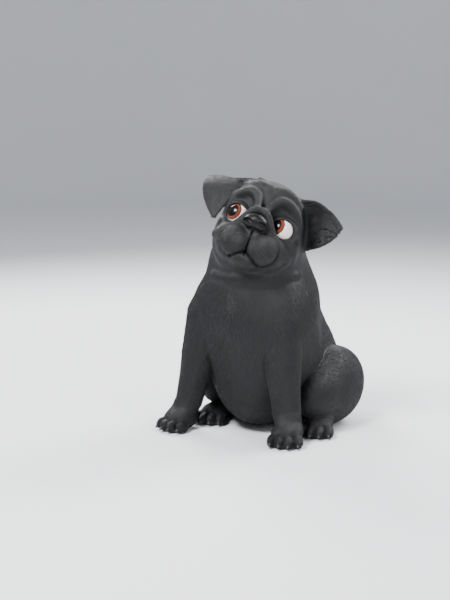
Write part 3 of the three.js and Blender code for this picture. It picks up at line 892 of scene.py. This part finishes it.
def lie_of_coat(points, normals):
    """Direction in which the hair lies: away from the nose, down the neck and trunk, along the tail."""
    q = to_head(points)
    lie = np.tile(np.array([0.0, 0.3, -1.0]), (len(points), 1))
    x, y, z = points.T
    top = facing_up(normals)[:, 0]
    lie[:, 1] += 1.3 * top * ramp(y, -10, 30)
    lie[:, 0] += 1.1 * np.sign(x) * top * ramp(y, 30, -10)
    front = ramp(y, -40, -70)
    lie[:, 1] -= 0.45 * front
    lie[:, 0] += 0.25 * np.clip(x / 80, -1, 1) * front
    paw = ramp(z, 44, 26) * ramp(y, 55, 40)
    lie += (np.array([0, -1, -0.35]) - lie) * paw[:, None]
    from_nose = unit(q - NOSE_POINT) + [0, 0.15, 0]
    from_nose[:, 2] -= 0.25 * ramp(q[:, 2], 0, -40)
    share = ramp(np.linalg.norm(q, axis=1), 118, 78)[:, None]
    lie = lie * (1 - share) + (from_nose @ HEAD_TURN.T) * share
    which, along = ear_lie(q)
    on_ear = which > 0
    lie[on_ear] = along[on_ear] @ HEAD_TURN.T
    tail = np.array(tail_stations())[:, :3]
    behind = np.flatnonzero(y > TAIL_START)
    station, gap = near_line(points[behind], tail)
    close = gap < TAIL_REACH
    lie[behind[close]] = np.gradient(tail, axis=0)[station[close]]
    return unit(lie - normals * (lie * normals).sum(1)[:, None])


# Settings


class PugSkinSettings(bpy.types.PropertyGroup):
    """Fineness of the skin."""

    face_step: bpy.props.FloatProperty(
        name="Face step", description="Spacing of the net on the face in millimetres", default=1.5,
        unit="NONE",
    )
    body_step: bpy.props.FloatProperty(
        name="Body step", description="Spacing of the net on the body in millimetres", default=3.2,
        unit="NONE",
    )


class PugCoatSettings(bpy.types.PropertyGroup):
    """Length, number and colour of the fur tufts."""

    # The dark colour at the roots is partly painted shade among the hairs.
    dark: bpy.props.FloatVectorProperty(
        name="Dark hair", description="Colour at the roots", subtype="COLOR",
        default=(0.0025, 0.0025, 0.003), unit="NONE",
    )
    light: bpy.props.FloatVectorProperty(
        name="Light hair", description="Colour at the tips", subtype="COLOR",
        default=(0.016, 0.016, 0.018), unit="NONE",
    )
    sheen: bpy.props.FloatProperty(
        name="Sheen", description="Soft grey sheen of the coat", default=0.02, unit="NONE"
    )
    body_length: bpy.props.FloatProperty(
        name="Body hair", description="Length of a tuft on the body", default=0.0095, unit="LENGTH"
    )
    face_length: bpy.props.FloatProperty(
        name="Face hair", description="Length of a tuft on the face", default=0.0035, unit="LENGTH"
    )
    body_spacing: bpy.props.FloatProperty(
        name="Body spacing", description="Space between tufts on the body", default=0.0021, unit="LENGTH"
    )
    face_spacing: bpy.props.FloatProperty(
        name="Face spacing", description="Space between tufts on the face", default=0.0012, unit="LENGTH"
    )


SKIN = {}
LOWEST_SKIN = 0.6

# The skin's net on each axis: its ends, then the ends of its finer stretch round the head
NET_SPANS = ((-136, 136, -92, 132), (-130, 218, -106, 14), (-6, 432, 262, 412))


class PUG_OT_skin(bpy.types.Operator):
    """Build the one skin over the whole flesh"""

    bl_idname = "pug.skin"
    bl_label = "Pug skin"

    def execute(self, context):
        settings = context.scene.pug_skin
        fine, body = settings.face_step, settings.body_step
        lines = [spaced(span[:2], body, span[2:], fine) for span in NET_SPANS]
        points, faces, slope = net(skin_form(), lines)
        points[:, 2] = np.maximum(points[:, 2], LOWEST_SKIN)
        material = coat_material("Pug skin", context.scene.pug_coat, False)
        skin = mesh_object("skin", points, faces, material)
        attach(skin, "root")
        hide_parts(*FLESH)
        normals = unit(slope)
        store(skin, "lie", lie_of_coat(points, normals))
        store(skin, "bare", bare_skin(to_head(points)))
        unwrap(skin)
        SKIN.update(points=points, faces=faces, normals=normals, object=skin)
        print("skin quads", len(faces))
        return {"FINISHED"}


def bare_skin(q):
    """1 on the hairless rims of the eyes and nose, falling to 0 on the coat."""
    rim = np.minimum(eyeballs(EYE_RADIUS)(q) - 0.6, nose_form()(q) - 0.6)
    return np.clip(1 - rim / 2.2, 0, 1)


# How far the ears' hair is from the face's (0) toward the body's (1)
EAR_GROWTH = 0.15


def tuft_roots(rng, settings):
    """Draws the roots evenly over the skin, with the length of the hair at each."""
    points, faces, normals = SKIN["points"], SKIN["faces"], SKIN["normals"]
    a, b, c, d = (points[faces[:, i]] for i in range(4))
    area = np.linalg.norm(np.cross(c - a, d - b), axis=1) / 2
    middle = (a + b + c + d) / 4
    q = to_head(middle)
    off_face = ramp(q[:, 1], -75, 35) + ramp(np.linalg.norm(q, axis=1), 75, 135)
    growth = np.minimum(ramp(off_face, 0, 1.6) ** 0.8, 0.3 + 0.7 * ramp(middle[:, 2], 0, 70))
    growth[ear_lie(q)[0] > 0] = EAR_GROWTH
    length = settings.face_length + (settings.body_length - settings.face_length) * growth
    spacing = settings.face_spacing + (settings.body_spacing - settings.face_spacing) * growth
    number = area / (spacing * 1000) ** 2
    number[(middle[:, 2] < 2.5) | (nose_form()(q) < 1.2) | (eyeballs(EYE_RADIUS)(q) < 1.3)] = 0
    number = np.floor(number + rng.random(len(number))).astype(int)
    owner = np.repeat(np.arange(len(faces)), number)
    u, v = rng.random((2, len(owner), 1))
    weight = [(1 - u) * (1 - v), u * (1 - v), u * v, (1 - u) * v]
    root, normal = (
        sum(values[faces[owner, i]] * weight[i] for i in range(4)) for values in (points, normals)
    )
    return {
        "root": root, "normal": unit(normal), "length": length[owner] * 1000,
        "growth": growth[owner], "face": owner,
    }


def tuft_zones(roots):
    """Splits the roots into named zones of the body."""
    p = roots["root"]
    q = to_head(p)
    ear = ear_lie(q)[0]
    head = is_on_head(q) & (ear == 0)
    body = ~head & (ear == 0)
    front, low = q[:, 1] < -30, q[:, 2] < -8
    on_head = {"muzzle": front & low, "brow": front & ~low, "crown": ~front}
    y, neck, limb = p[:, 1], p[:, 2] > 235, p[:, 2] <= 120
    trunk = ~neck & ~limb
    on_body = {
        "neck": neck, "chest": trunk & (y < 10), "back": trunk & (y >= 10),
        "foreleg": limb & (y < 0), "haunch": limb & (y >= 0),
    }
    zones = {"ear_left": ear == 1, "ear_right": ear == 2}
    for whole, parts, left in ((head, on_head, q[:, 0] > 0), (body, on_body, p[:, 0] > 0)):
        for side, mask in (("left", left), ("right", ~left)):
            for name, part in parts.items():
                zones[f"{name}_{side}"] = whole & mask & part
    return zones


# A tuft's rings as (share of its length, share of its width), the corners of a ring as (across, up),
# how deep it is sunk, how low it may reach, and half the width of its patch in the OFBake map
TUFT_RINGS = ((0.0, 1.0), (0.5, 0.85))
TUFT_SECTION = ((-1, -0.3), (1, -0.3), (0, 0.8))
TUFT_SINK = 0.35
LOWEST_HAIR = 0.35
TUFT_PATCH = 0.0015
MOST_TRIANGLES = 200000


def tuft_mesh(rng, roots, skin_uv):
    """Flat three-sided tufts, each sunk at its root, bowed along the lie and closed at both ends."""
    root, normal, length = roots["root"], roots["normal"], roots["length"][:, None]
    count = len(root)
    lie = lie_of_coat(root, normal)
    side = np.cross(normal, lie)
    swing = rng.normal(0, 0.16, (count, 1))
    lie, side = unit(lie + side * swing), unit(side - lie * swing)
    length = length * rng.uniform(0.75, 1.2, (count, 1))
    growth = roots["growth"][:, None]
    width = (0.29 + 0.2 * growth) * rng.uniform(0.75, 1.25, (count, 1))
    thick = width * 0.4
    rise = (0.32 + 0.75 * growth) * rng.uniform(0.5, 1.25, (count, 1))
    rise *= 1 - 0.6 * facing_up(normal)
    start = root - normal * TUFT_SINK - lie * 0.3
    rows, tips = [], []
    for reach, girth in TUFT_RINGS:
        bow = math.sin(reach * math.pi / 2 * 1.2)
        middle = start + lie * length * reach + normal * (rise + TUFT_SINK) * bow
        for across, up in TUFT_SECTION:
            rows.append(middle + side * width * girth * across + normal * thick * girth * up)
            tips.append(reach)
    aside = side * length * rng.normal(0, 0.04, (count, 1))
    rows.append(start + lie * length + normal * (rise * 0.9 + 0.3) + aside)
    tips.append(1.0)
    points = np.stack(rows, 1)
    points[..., 2] = np.maximum(points[..., 2], LOWEST_HAIR)
    n = len(TUFT_SECTION)
    pattern = [(0, 2, 1)]
    for i in range(n):
        j = (i + 1) % n
        pattern += [(i, j, n + j), (i, n + j, n + i), (n + i, n + j, 2 * n)]
    pattern = np.array(pattern)
    corners = points.shape[1]
    faces = (np.arange(count)[:, None, None] * corners + pattern).reshape(-1, 3)
    # tip runs from 0 at the root to 1 at the tip; the coat colour is darkest at 0, which paints shade among
    # the hairs at their roots.
    tip = np.tile(np.array(tips), (count, 1)) * rng.uniform(0.45, 1.0, (count, 1))
    lies = np.repeat(lie[:, None], corners, 1)
    offset = np.array([(-1, 0), (1, 0), (0, 0.4), (-1, 1), (1, 1), (0, 1.4), (0, 2)]) * TUFT_PATCH
    uv = skin_uv[roots["face"]][:, None] + offset
    return points.reshape(-1, 3), faces, tip.ravel(), lies.reshape(-1, 3), uv.reshape(-1, 2)


class PUG_OT_coat(bpy.types.Operator):
    """Grow the short fur over the skin, in one piece for each zone of the body"""

    bl_idname = "pug.coat"
    bl_label = "Pug coat"

    def execute(self, context):
        settings = context.scene.pug_coat
        rng = np.random.default_rng(7)
        layer = SKIN["object"].data.uv_layers["OFBake"]
        flat = np.empty(len(layer.data) * 2, np.float32)
        layer.data.foreach_get("uv", flat)
        face_uv = flat.reshape(-1, 4, 2).mean(1)
        roots = tuft_roots(rng, settings)
        material = coat_material("Pug fur", settings, True)
        total = 0
        for name, mask in tuft_zones(roots).items():
            chosen = {key: value[mask] for key, value in roots.items()}
            points, faces, tip, lies, uv = tuft_mesh(rng, chosen, face_uv)
            if len(faces) >= MOST_TRIANGLES:
                raise RuntimeError(f"the coat of {name} has too many triangles: {len(faces)}")
            piece = mesh_object("coat_" + name, points, faces, material, False)
            store(piece, "tip", tip)
            store(piece, "lie", lies)
            bake = piece.data.uv_layers.new(name="OFBake")
            bake.data.foreach_set("uv", uv[faces.ravel()].astype(np.float32).ravel())
            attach(piece, "root")
            total += len(faces)
        print("coat triangles", total)
        return {"FINISHED"}


# Nose leather


NOSE_STEP = 0.8
NOSE_BOX = ((-22, 23), (-97, -60), (-17, 19))


def nose_form():
    """The nose leather in the head's frame, with its nostrils and the groove to the lip."""
    body = merged(4, egg((0, -78, 1), (15, 11, 11.5)), mirrored(egg((10, -80, -2), (8.5, 9, 9))))
    nostrils = mirrored(
        fold([(5.5, -88.5, -3.5, 2.4), (9.5, -88, -2, 3.4), (14, -85, -2.5, 2.8), (18.5, -80, -5.5, 1.6)])
    )
    groove = rope([(0, -91, -2, 1.3), (0, -87, -14, 1.3)])
    return carved(1.2, body, merged(1, nostrils, groove))


def leather_material():
    """Moist black leather with a fine pebbled grain."""
    material, tree, shader = new_material("Nose leather")
    place = object_place(tree)
    grain = add_node(tree, "TexVoronoi", {"Vector": place, "Scale": 900}).outputs["Distance"]
    tone = noise_node(tree, place, 160, 3)
    colour = mix_node(tree, tone, (0.003, 0.003, 0.0035), (0.011, 0.0105, 0.0115))
    feed(shader, {"Base Color": colour, "Roughness": raised(tree, 0.24, tone, 0.14)})
    feed(shader, {"Specular IOR Level": 0.16, "Normal": bump_node(tree, grain, 0.55, 0.0004)})
    return material


class PUG_OT_nose(bpy.types.Operator):
    """Build the nose leather with its nostrils"""

    bl_idname = "pug.nose"
    bl_label = "Pug nose"

    def execute(self, context):
        lines = [np.arange(low, high, NOSE_STEP) for low, high in NOSE_BOX]
        points, faces, _ = net(nose_form(), lines)
        nose = mesh_object("nose_leather", from_head(points), faces, leather_material())
        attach(nose, "root")
        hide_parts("nose")
        return {"FINISHED"}


# Eyes

# Direction of the look in the head's frame, and how far the cornea stands out
GAZE = (-0.55, -0.84, 0.14)
CORNEA_BULGE = 0.5


class PugEyeSettings(bpy.types.PropertyGroup):
    """Size and colours of the eyes."""

    radius: bpy.props.FloatProperty(
        name="Radius", description="Radius of an eyeball", default=EYE_RADIUS / 1000, unit="LENGTH"
    )
    iris: bpy.props.FloatProperty(
        name="Iris", description="Half angle of the iris in degrees", default=49.0, unit="NONE"
    )
    pupil: bpy.props.FloatProperty(
        name="Pupil", description="Half angle of the pupil in degrees", default=32.0, unit="NONE"
    )
    iris_colour: bpy.props.FloatVectorProperty(
        name="Iris colour", description="Reddish brown of the iris", subtype="COLOR",
        default=(0.22, 0.045, 0.022), unit="NONE",
    )
    white: bpy.props.FloatVectorProperty(
        name="White", description="White of the eye", subtype="COLOR", default=(0.78, 0.74, 0.70),
        unit="NONE",
    )


def eye_material(settings):
    """Pupil, iris with fine rays and a dark rim, and the white, under a wet clear coat."""
    material, outer, shader = new_material("Pug eye")
    tree, entry, exit_node = new_group(
        "Eye colour",
        [
            ("Gaze", "Vector", None),
            ("Iris", "Color", (0.3, 0.07, 0.035, 1)),
            ("White", "Color", (0.8, 0.75, 0.7, 1)),
            ("Iris angle", "Float", 41.0),
            ("Pupil angle", "Float", 19.0),
        ],
        [("Color", "Color")],
    )
    gaze = entry["Gaze"]
    split = add_node(tree, "SeparateXYZ", {0: gaze}).outputs
    angle = math_node(tree, "ARCCOSINE", math_node(tree, "MINIMUM", split["Z"], 0.99999))
    angle = math_node(tree, "MULTIPLY", angle, 180 / math.pi)
    around = math_node(tree, "ARCTAN2", split["Y"], split["X"])
    flat = add_node(tree, "CombineXYZ", {"X": around, "Y": math_node(tree, "MULTIPLY", angle, 0.012)})
    rays = noise_node(tree, flat.outputs[0], 14, 4, 0.65)
    from_pupil = math_node(tree, "SUBTRACT", angle, entry["Pupil angle"])
    to_rim = math_node(tree, "SUBTRACT", entry["Iris angle"], angle)
    deep = mix_node(tree, 0.75, entry["Iris"], (0.02, 0.006, 0.004))
    iris = mix_node(tree, ramp_between(tree, rays, 0.35, 0.7), deep, entry["Iris"])
    iris = mix_node(tree, ramp_between(tree, to_rim, 7.0, 0.5), iris, (0.006, 0.003, 0.002))
    veins = noise_node(tree, gaze, 7, 4, 0.6)
    white = mix_node(tree, ramp_between(tree, veins, 0.45, 0.75), entry["White"], (0.5, 0.25, 0.2))
    colour = mix_node(tree, ramp_between(tree, to_rim, 0.6, -0.6), iris, white)
    colour = mix_node(tree, ramp_between(tree, from_pupil, 0.7, -0.7), colour, (0.001, 0.001, 0.001))
    feed(exit_node, {"Color": colour})
    inputs = {
        "Gaze": kept_value(outer, "gaze", "Vector"),
        "Iris": (*settings.iris_colour, 1), "White": (*settings.white, 1),
        "Iris angle": settings.iris, "Pupil angle": settings.pupil,
    }
    group = add_node(outer, "Group", inputs, node_tree=tree)
    feed(shader, {"Base Color": group.outputs["Color"], "Roughness": 0.25, "Specular IOR Level": 0.1})
    feed(shader, {"Coat Weight": 0.6, "Coat Roughness": 0.02, "Coat IOR": 1.38})
    return material


class PUG_OT_eyes(bpy.types.Operator):
    """Build both eyeballs with the bulge of the cornea, turned to the gaze"""

    bl_idname = "pug.eyes"
    bl_label = "Pug eyes"

    def execute(self, context):
        settings = context.scene.pug_eye
        material = eye_material(settings)
        radius = settings.radius * 1000
        rings, segments = 72, 96
        polar = np.linspace(0, math.pi, rings + 1)[:, None]
        round_ = np.linspace(0, 2 * math.pi, segments, endpoint=False)[None]
        x, y, z = np.sin(polar) * np.cos(round_), np.sin(polar) * np.sin(round_), np.cos(polar) + 0 * round_
        ball = np.stack([x, y, z], -1).reshape(-1, 3)
        degrees = np.degrees(np.arccos(np.clip(ball[:, 2], -1, 1)))
        bulge = CORNEA_BULGE * np.clip(1 - (degrees / (settings.iris + 4)) ** 2, 0, 1)
        ahead = unit(np.array(GAZE))
        up = unit(np.array([0, 0, 1.0]) - ahead * ahead[2])
        across = np.cross(up, ahead)
        turned = ball @ np.stack([across, up, ahead])
        faces = ring_quads(rings, segments)
        for name, side in (("left", 1), ("right", -1)):
            points = from_head(turned * (radius - CORNEA_BULGE + bulge)[:, None] + eye_centre(side))
            eye = mesh_object("eyeball_" + name, points, faces, material)
            store(eye, "gaze", ball)
            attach(eye, "root")
            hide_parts("eye_" + name)
        return {"FINISHED"}


# Claws and whiskers


def tube(stations, sides):
    """A closed tapering tube through stations [x, y, z, radius]."""
    stations = np.asarray(stations, float)
    line, radii = stations[:, :3], stations[:, 3]
    along = unit(np.gradient(line, axis=0))
    across = unit(np.cross(along, [0.31, 0.17, 0.94]))
    up = np.cross(along, across)
    turn = np.linspace(0, 2 * math.pi, sides, endpoint=False)
    ring = np.cos(turn)[None, :, None] * across[:, None] + np.sin(turn)[None, :, None] * up[:, None]
    points = (line[:, None] + ring * radii[:, None, None]).reshape(-1, 3)
    a, d, c, b = ring_quads(len(line) - 1, sides).T
    faces = [np.stack([a, b, c, a, c, d], -1).reshape(-1, 3)]
    last = (len(line) - 1) * sides
    for j in range(1, sides - 1):
        faces.append([(0, j + 1, j), (last, last + j, last + j + 1)])
    return points, np.concatenate(faces)


def joined(parts):
    """Several meshes as one list of points and faces."""
    points, faces, start = [], [], 0
    for part_points, part_faces in parts:
        points.append(part_points)
        faces.append(part_faces + start)
        start += len(part_points)
    return np.concatenate(points), np.concatenate(faces)


def plain_material(name, noise, dark, light, roughness):
    """Two colours mixed by noise of a given scale and detail, rougher where they are lighter."""
    material, tree, shader = new_material(name)
    tone = noise_node(tree, object_place(tree), *noise)
    colour = mix_node(tree, tone, dark, light)
    feed(shader, {"Base Color": colour, "Roughness": raised(tree, roughness, tone, 0.2)})
    return material


def claw(place):
    """A short curved claw on one toe of a paw that points to -Y."""
    tip = toe_reach(place) - 13
    x = place * TOE_SPREAD * 1.1
    line = [
        (x, tip + 6, 9.5, 2.5), (x, tip + 1, 8.6, 2.4),
        (x * 1.01, tip - 3, 6.6, 1.7), (x * 1.02, tip - 5.4, 4.2, 0.5),
    ]
    return tube(curve_through(line, 10), 10)


class PUG_OT_claws(bpy.types.Operator):
    """Build the short curved claws of all four feet"""

    bl_idname = "pug.claws"
    bl_label = "Pug claws"

    def execute(self, context):
        dark, light = (0.008, 0.0075, 0.0075), (0.026, 0.023, 0.021)
        material = plain_material("Claw horn", (400, 3), dark, light, 0.4)
        feet = [("forepaw_" + name, leg) for name, leg in FORELEGS.items()]
        feet += [("hind_foot_" + name, leg) for name, leg in HINDLEGS.items()]
        for name, leg in feet:
            points, faces = joined([claw(place) for place in TOE_PLACES])
            points = points @ turn_matrix(0, 0, leg["turn"]).T + [*leg["paw"], 0]
            piece = mesh_object("claws_" + name, points, faces, material)
            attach(piece, "root")
        return {"FINISHED"}


WHISKER_ROWS = 4
WHISKER_COLUMNS = 4
MUZZLE_MIDDLE = (0, -45, -25)


def whisker(rng, form, side, row, column):
    """One whisker of the lip, from a drawn place brought onto the head's surface."""
    start = np.array([side * (14 + 7 * column), -86 + 4.5 * column, -22 - 6 * row + column], float)
    start += rng.normal(0, 1.2, 3)
    inward = unit(MUZZLE_MIDDLE - start)
    for _ in range(20):
        start += inward * form(start[None])[0] * 0.8
    out = unit(np.array([side * (0.75 + 0.1 * column), -0.35 + 0.2 * column, -0.25 - 0.1 * row]))
    length = rng.uniform(12, 19)
    bend = np.array([side * 0.1, 0.35, -0.5])
    line = [
        (*(start + out * length * t + bend * length * 0.3 * t * t), 0.16 * (1 - t) + 0.03)
        for t in np.linspace(-0.04, 1, 9)
    ]
    return tube(line, 5)


class PUG_OT_whiskers(bpy.types.Operator):
    """Build the whiskers of the lips"""

    bl_idname = "pug.whiskers"
    bl_label = "Pug whiskers"

    def execute(self, context):
        rng = np.random.default_rng(11)
        form = head_form()
        places = product((1, -1), range(WHISKER_ROWS), range(WHISKER_COLUMNS))
        points, faces = joined([whisker(rng, form, *place) for place in places])
        dark, light = (0.006, 0.006, 0.006), (0.03, 0.03, 0.032)
        material = plain_material("Whisker", (250, 2), dark, light, 0.28)
        piece = mesh_object("whiskers", from_head(points), faces, material)
        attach(piece, "root")
        return {"FINISHED"}


# Stage

# What the camera looks at, in millimetres, its angles in degrees and its distance and view in metres
LOOK_AT = (-53, -12, 199)
CAMERA_AZIMUTH = 35
CAMERA_HEIGHT = 9.5
CAMERA_REACH = 1.9
VIEW_WIDTH = 0.700

# Lights as name, azimuth, height, distance, size and power, all shining on one point
LIGHT_TARGET = (0, 20, 220)
LIGHTS = (
    ("key", -5, 48, 1.7, 0.55, 60),
    ("fill", 80, 25, 1.9, 1.2, 22),
    ("rim_left", 160, 40, 1.7, 0.8, 45),
    ("rim_right", -120, 35, 1.7, 0.8, 45),
)


def studio_floor():
    """A wide round floor whose far edge curves up into a low wall, so that no horizon shows."""
    flat, bend, wall, segments = 4.0, 1.5, 2.2, 96
    profile = [(flat * t, 0.0) for t in np.linspace(0, 1, 9)[1:]]
    for a in np.linspace(0, math.pi / 2, 13)[1:]:
        profile.append((flat + bend * math.sin(a), bend - bend * math.cos(a)))
    profile.append((flat + bend, wall))
    turn = np.linspace(0, 2 * math.pi, segments, endpoint=False)
    points = [(0.0, 0.0, 0.0)]
    points += [(reach * math.cos(a), reach * math.sin(a), height) for reach, height in profile for a in turn]
    faces = [(0, 1 + j, 1 + (j + 1) % segments) for j in range(segments)]
    faces += (ring_quads(len(profile) - 1, segments) + 1).tolist()
    mesh = bpy.data.meshes.new("floor")
    mesh.from_pydata(points, [], faces)
    mesh.polygons.foreach_set("use_smooth", np.full(len(faces), True))
    material, tree, shader = new_material("Pale floor")
    tone = noise_node(tree, object_place(tree), 3, 2)
    colour = mix_node(tree, tone, (0.71, 0.72, 0.74), (0.74, 0.75, 0.77))
    feed(shader, {"Base Color": colour, "Roughness": 0.8})
    mesh.materials.append(material)
    floor = bpy.data.objects.new("floor", mesh)
    bpy.context.scene.collection.objects.link(floor)
    return floor


def out_from(azimuth, height):
    """Unit direction out from the dog, by degrees round from the front and up from the floor."""
    a, e = math.radians(azimuth), math.radians(height)
    return Vector((math.sin(a) * math.cos(e), -math.cos(a) * math.cos(e), math.sin(e)))


def aim(thing, target, azimuth, height, reach):
    """Places a lamp or camera out from a target and turns it there."""
    out = out_from(azimuth, height)
    thing.location = Vector(to_frame(target)) + out * reach
    thing.rotation_euler = (-out).to_track_quat("-Z", "Y").to_euler()
    bpy.context.scene.collection.objects.link(thing)


class PUG_OT_stage(bpy.types.Operator):
    """Build the floor, the lights and the camera"""

    bl_idname = "pug.stage"
    bl_label = "Pug stage"

    def execute(self, context):
        scene = context.scene
        studio_floor()
        world = bpy.data.worlds.new("Soft studio")
        world.use_nodes = True
        background = world.node_tree.nodes["Background"]
        feed(background, {"Color": (0.9, 0.93, 1.0, 1), "Strength": 0.6})
        scene.world = world
        for name, azimuth, height, reach, width, power in LIGHTS:
            light = bpy.data.lights.new(name, "AREA")
            light.size, light.energy = width, power
            aim(bpy.data.objects.new(name, light), LIGHT_TARGET, azimuth, height, reach)
        camera = bpy.data.objects.new("camera", bpy.data.cameras.new("camera"))
        camera.data.sensor_fit = "HORIZONTAL"
        camera.data.angle = 2 * math.atan(VIEW_WIDTH / 2 / CAMERA_REACH)
        aim(camera, LOOK_AT, CAMERA_AZIMUTH, CAMERA_HEIGHT, CAMERA_REACH)
        scene.camera = camera
        return {"FINISHED"}


class VIEW3D_PT_pug(bpy.types.Panel):
    """Sizes and colours of the pug, with a button for each piece"""

    bl_label = "Sitting pug"
    bl_space_type = "VIEW_3D"
    bl_region_type = "UI"
    bl_category = "Pug"

    def draw(self, context):
        for name in SETTINGS:
            settings = getattr(context.scene, name)
            for prop in type(settings).__annotations__:
                self.layout.prop(settings, prop)
        for operator in OPERATORS:
            self.layout.operator(operator.bl_idname)


SETTINGS = {"pug_skin": PugSkinSettings, "pug_coat": PugCoatSettings, "pug_eye": PugEyeSettings}
OPERATORS = (PUG_OT_skin, PUG_OT_coat, PUG_OT_nose, PUG_OT_eyes, PUG_OT_claws, PUG_OT_whiskers, PUG_OT_stage)


def register():
    for kind in (*SETTINGS.values(), *OPERATORS, VIEW3D_PT_pug):
        bpy.utils.register_class(kind)
    for name, kind in SETTINGS.items():
        setattr(bpy.types.Scene, name, bpy.props.PointerProperty(type=kind))


def unregister():
    for name in SETTINGS:
        delattr(bpy.types.Scene, name)
    for kind in (VIEW3D_PT_pug, *reversed(OPERATORS), *reversed(list(SETTINGS.values()))):
        bpy.utils.unregister_class(kind)


def main():
    register()
    for operator in OPERATORS:
        area, name = operator.bl_idname.split(".")
        getattr(getattr(bpy.ops, area), name)()


if __name__ == "__main__":
    main()
